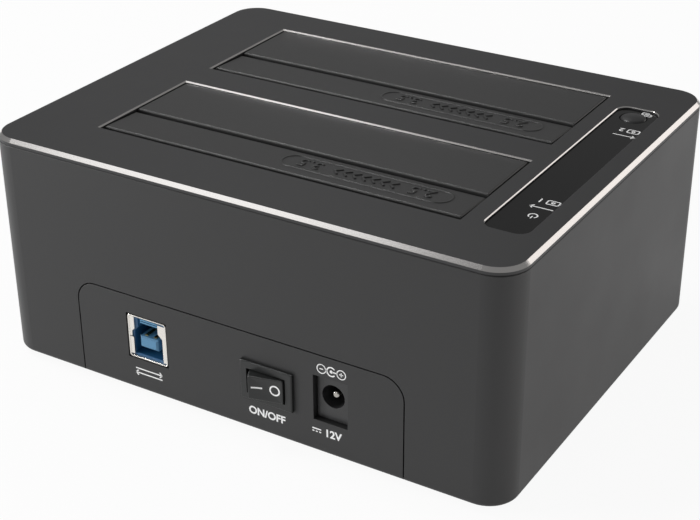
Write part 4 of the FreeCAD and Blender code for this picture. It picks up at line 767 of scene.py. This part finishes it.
def port_shell():
    """The steel: tube, cheeks a little behind its lip, and the two legs that pass through the board."""
    steel = [port_tube()]
    for cheek in CHEEKS:
        steel.append(prism(*[(cheek, depth) for depth in CHEEK_DEPTHS]))
    for side in (-1, 1):
        leg = [(side * x, z) for x, z in LEG]
        steel.append(prism(*[(leg, depth) for depth in LEG_DEPTHS]))
    shell = piece("port_shell", steel, tinned, "chassis")
    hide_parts("usb_shell")


def port_moulding():
    """The blue body with its stepped mouth and a small lead-in round it, and the tongue and the comb's bars
    inside, each bar as half its length, its two heights and its two depths."""
    lead_in = [(x * LEAD_IN, MOUTH_MIDDLE_Z + (z - MOUTH_MIDDLE_Z) * LEAD_IN) for x, z in MOUTH]
    body = prism((AROUND, PORT_DEPTH), (AROUND, BODY_FACE), (lead_in, BODY_FACE), (MOUTH, LEAD_IN_END),
                 (MOUTH, CAVITY_DEPTH))
    moulding = piece("port_moulding", [body], port_blue, "chassis")
    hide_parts("usb_insulator")
    tip, nose_end = TONGUE_DEPTHS
    inside = [prism((TONGUE, CAVITY_DEPTH), (TONGUE, nose_end), (TONGUE_NOSE, tip))]
    for half_x, z0, z1, front, back in COMB_BARS:
        bar = [(-half_x, z0), (half_x, z0), (half_x, z1), (-half_x, z1)]
        inside.append(prism((bar, back), (bar, front)))
    piece("port_tongue", inside, tongue_blue, "chassis")


port_shell()
port_moulding()


# ---- power jack ----
# A glossy black moulding set back in the panel and soldered to the main board. A bright nickel-plated pin
# stands in the middle of its bore.

dress(finish("jack_plastic", (0.035, 0.035, 0.036), 0.28, grain_mm=0.2, depth_mm=0.002), "dc_jack_body")
dress(finish("bright_pin", (0.50, 0.48, 0.45), 0.15, metallic=1.0, grain_mm=0.2, depth_mm=0.001),
      "dc_jack_pin")


# ---- power switch ----
# A small rocker in a bevelled frame, with tinned terminals behind. The paddle is dished along its length,
# its edges are rounded, and its I and O are inlaid white. At rest the O end is pressed in.

ROCKER_TIP = 4.02 * MM
ROCKER_DISH = 0.7 * MM
ROCKER_EDGE_R = 0.3 * MM
ROCKER_HALF_X = 4.55 * MM
ROCKER_HALF_Z = 3.25 * MM
ROCKER_SIDES = [(-3.0, 1.4, 2.6), (-1.6, 5.1, 3.2), (0.9, 5.2, 3.25), (3.2, 4.68, 3.25)]
ROCKER_DISHED_FROM = 3.0
ROCKER_TILT = math.radians(13.0)
FACE_SHARES = (0.9, 0.75, 0.6, 0.45, 0.3, 0.15, 0.02)
BAR_START = 0.95 * MM
BAR_END = 3.75 * MM
BAR_LINE = 0.45 * MM
RING_X = -2.35 * MM
RING_R = 1.25 * MM
RING_LINE = 0.42 * MM

switch_black = finish("switch_plastic", (0.016, 0.017, 0.017), 0.33, grain_mm=0.2, depth_mm=0.002,
                      edge_mm=0.25)
dress(switch_black, "rocker_frame")
dress(tinned, "switch_terminals")


def dish(x):
    """How far the paddle's face lies below its ends: a parabola, deepest at the middle."""
    return ROCKER_DISH * (1 - (x / ROCKER_HALF_X) ** 2)


def on_rocker(surface):
    """From the paddle's own frame (x, z up, y outwards) to the dock's: tilted about the pivot."""
    points, faces = surface
    pivot = np.array(joints["power_rocker_pivot"]["pos_m"])
    turn = np.array(Matrix.Rotation(ROCKER_TILT, 3, "Z"))
    return points @ turn.T + pivot, faces


def rocker_paddle():
    """The paddle: rounded rectangles from the root out to the face, each given in mm as its distance out and
    its half sizes, then round the face's edge as a quarter circle, and in over the dished face."""
    rings = []
    for out, half_x, half_z in ROCKER_SIDES:
        flat = box_path(0, 0, 2 * half_x * MM, 2 * half_z * MM, ROCKER_EDGE_R)
        y = out * MM - dish(flat[:, 0]) * (out > ROCKER_DISHED_FROM)
        rings.append(np.column_stack([flat[:, 0], y, flat[:, 1]]))
    for turn in np.linspace(0, np.pi / 2, 6):
        inset = ROCKER_EDGE_R * (1 - math.cos(turn))
        flat = box_path(0, 0, 2 * (ROCKER_HALF_X - inset), 2 * (ROCKER_HALF_Z - inset), ROCKER_EDGE_R)
        y = ROCKER_TIP - ROCKER_EDGE_R * (1 - math.sin(turn)) - dish(flat[:, 0])
        rings.append(np.column_stack([flat[:, 0], y, flat[:, 1]]))
    for share in FACE_SHARES:
        inner = flat * share
        rings.append(np.column_stack([inner[:, 0], ROCKER_TIP - dish(inner[:, 0]), inner[:, 1]]))
    paddle = piece("rocker_paddle", [on_rocker(skin_rings(np.array(rings)))], switch_black, "power_rocker")
    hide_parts("rocker")


def rocker_marks():
    """The I towards +X and the O towards -X, laid on the dished face."""
    bar = stroke(np.column_stack([np.linspace(BAR_START, BAR_END, 9), np.zeros(9)]), BAR_LINE, INK_T)
    ring = stroke(arc(RING_X, 0, RING_R), RING_LINE, INK_T, loop=True)
    laid = []
    for points, faces in (bar, ring):
        y = ROCKER_TIP - dish(points[:, 0]) + points[:, 2]
        laid.append(on_rocker((np.column_stack([points[:, 0], y, points[:, 1]]), faces)))
    piece("rocker_marks", laid, white_ink, "power_rocker")


rocker_paddle()
rocker_marks()


# ---- port panel printing ----
# Thin white pad printing by each port: two opposed arrows for data, the switch's ON/OFF, the jack's
# polarity and its plain voltage.

PANEL_LINE = 0.35 * MM
PANEL_FINE = 0.26 * MM
PANEL_CAP = 2.25 * MM
DATA_ARROW_HALF = 4.2 * MM
DATA_ARROW_RISE = 0.65 * MM
DATA_ARROW_HEAD = 0.75 * MM
DASH_XS = np.array([-4.6, -3.63, -2.66]) * MM
DASH_LENGTH = 0.56 * MM
POLARITY_RING_R = 1.2 * MM


def data_mark():
    """Two opposed arrows, one over the other."""
    marks = []
    for way in (1, -1):
        half, rise = way * DATA_ARROW_HALF, way * DATA_ARROW_RISE
        marks += arrow(-half, half, rise, DATA_ARROW_HEAD, PANEL_LINE)
    return marks


def voltage_mark():
    """The direct-current sign, a bar over three dashes, and the voltage."""
    points, faces = letters("12V", PANEL_CAP, INK_T, weight=0.03)
    marks = [(points + [1.6 * MM, 0, 0], faces)]
    marks.append(stroke([(-4.6 * MM, 0.35 * MM), (-2.1 * MM, 0.35 * MM)], PANEL_LINE, INK_T))
    for x in DASH_XS:
        marks.append(stroke([(x, -0.4 * MM), (x + DASH_LENGTH, -0.4 * MM)], PANEL_LINE, INK_T))
    return marks


def polarity_mark():
    """Minus in a ring, a broken ring round a solid centre, and plus in a ring, joined by short bars."""
    marks = [stroke(arc(x * MM, 0, POLARITY_RING_R), PANEL_FINE, INK_T, loop=True) for x in (-2.75, 2.75)]
    marks.append(stroke(arc(0, 0, POLARITY_RING_R, 40, 320), PANEL_LINE, INK_T))
    marks.append(stroke(arc(0, 0, 0.22 * MM, steps=16), 0.43 * MM, INK_T, loop=True))
    for start, end, line in (
        ((-1.6, 0), (-1.15, 0), PANEL_LINE),
        ((0.2, 0), (1.6, 0), PANEL_LINE),
        ((-3.25, 0), (-2.25, 0), PANEL_FINE),
        ((2.2, 0), (3.3, 0), PANEL_FINE),
        ((2.75, -0.55), (2.75, 0.55), PANEL_FINE),
    ):
        marks.append(stroke(np.array([start, end]) * MM, line, INK_T))
    return marks


panel_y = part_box("base_tray")[1].y
printed = []
for x, z, marks in (
    (26.7, 7.4, data_mark()),
    (-9.8, 7.3, [letters("ON/OFF", PANEL_CAP, INK_T, weight=0.03)]),
    (-27.6, 7.8, voltage_mark()),
    (-28.6, 25.6, polarity_mark()),
):
    printed += [placed(mark, (x * MM, panel_y, z * MM), (-1, 0, 0), (0, 0, 1)) for mark in marks]
piece("panel_marks", printed, white_ink, "chassis")
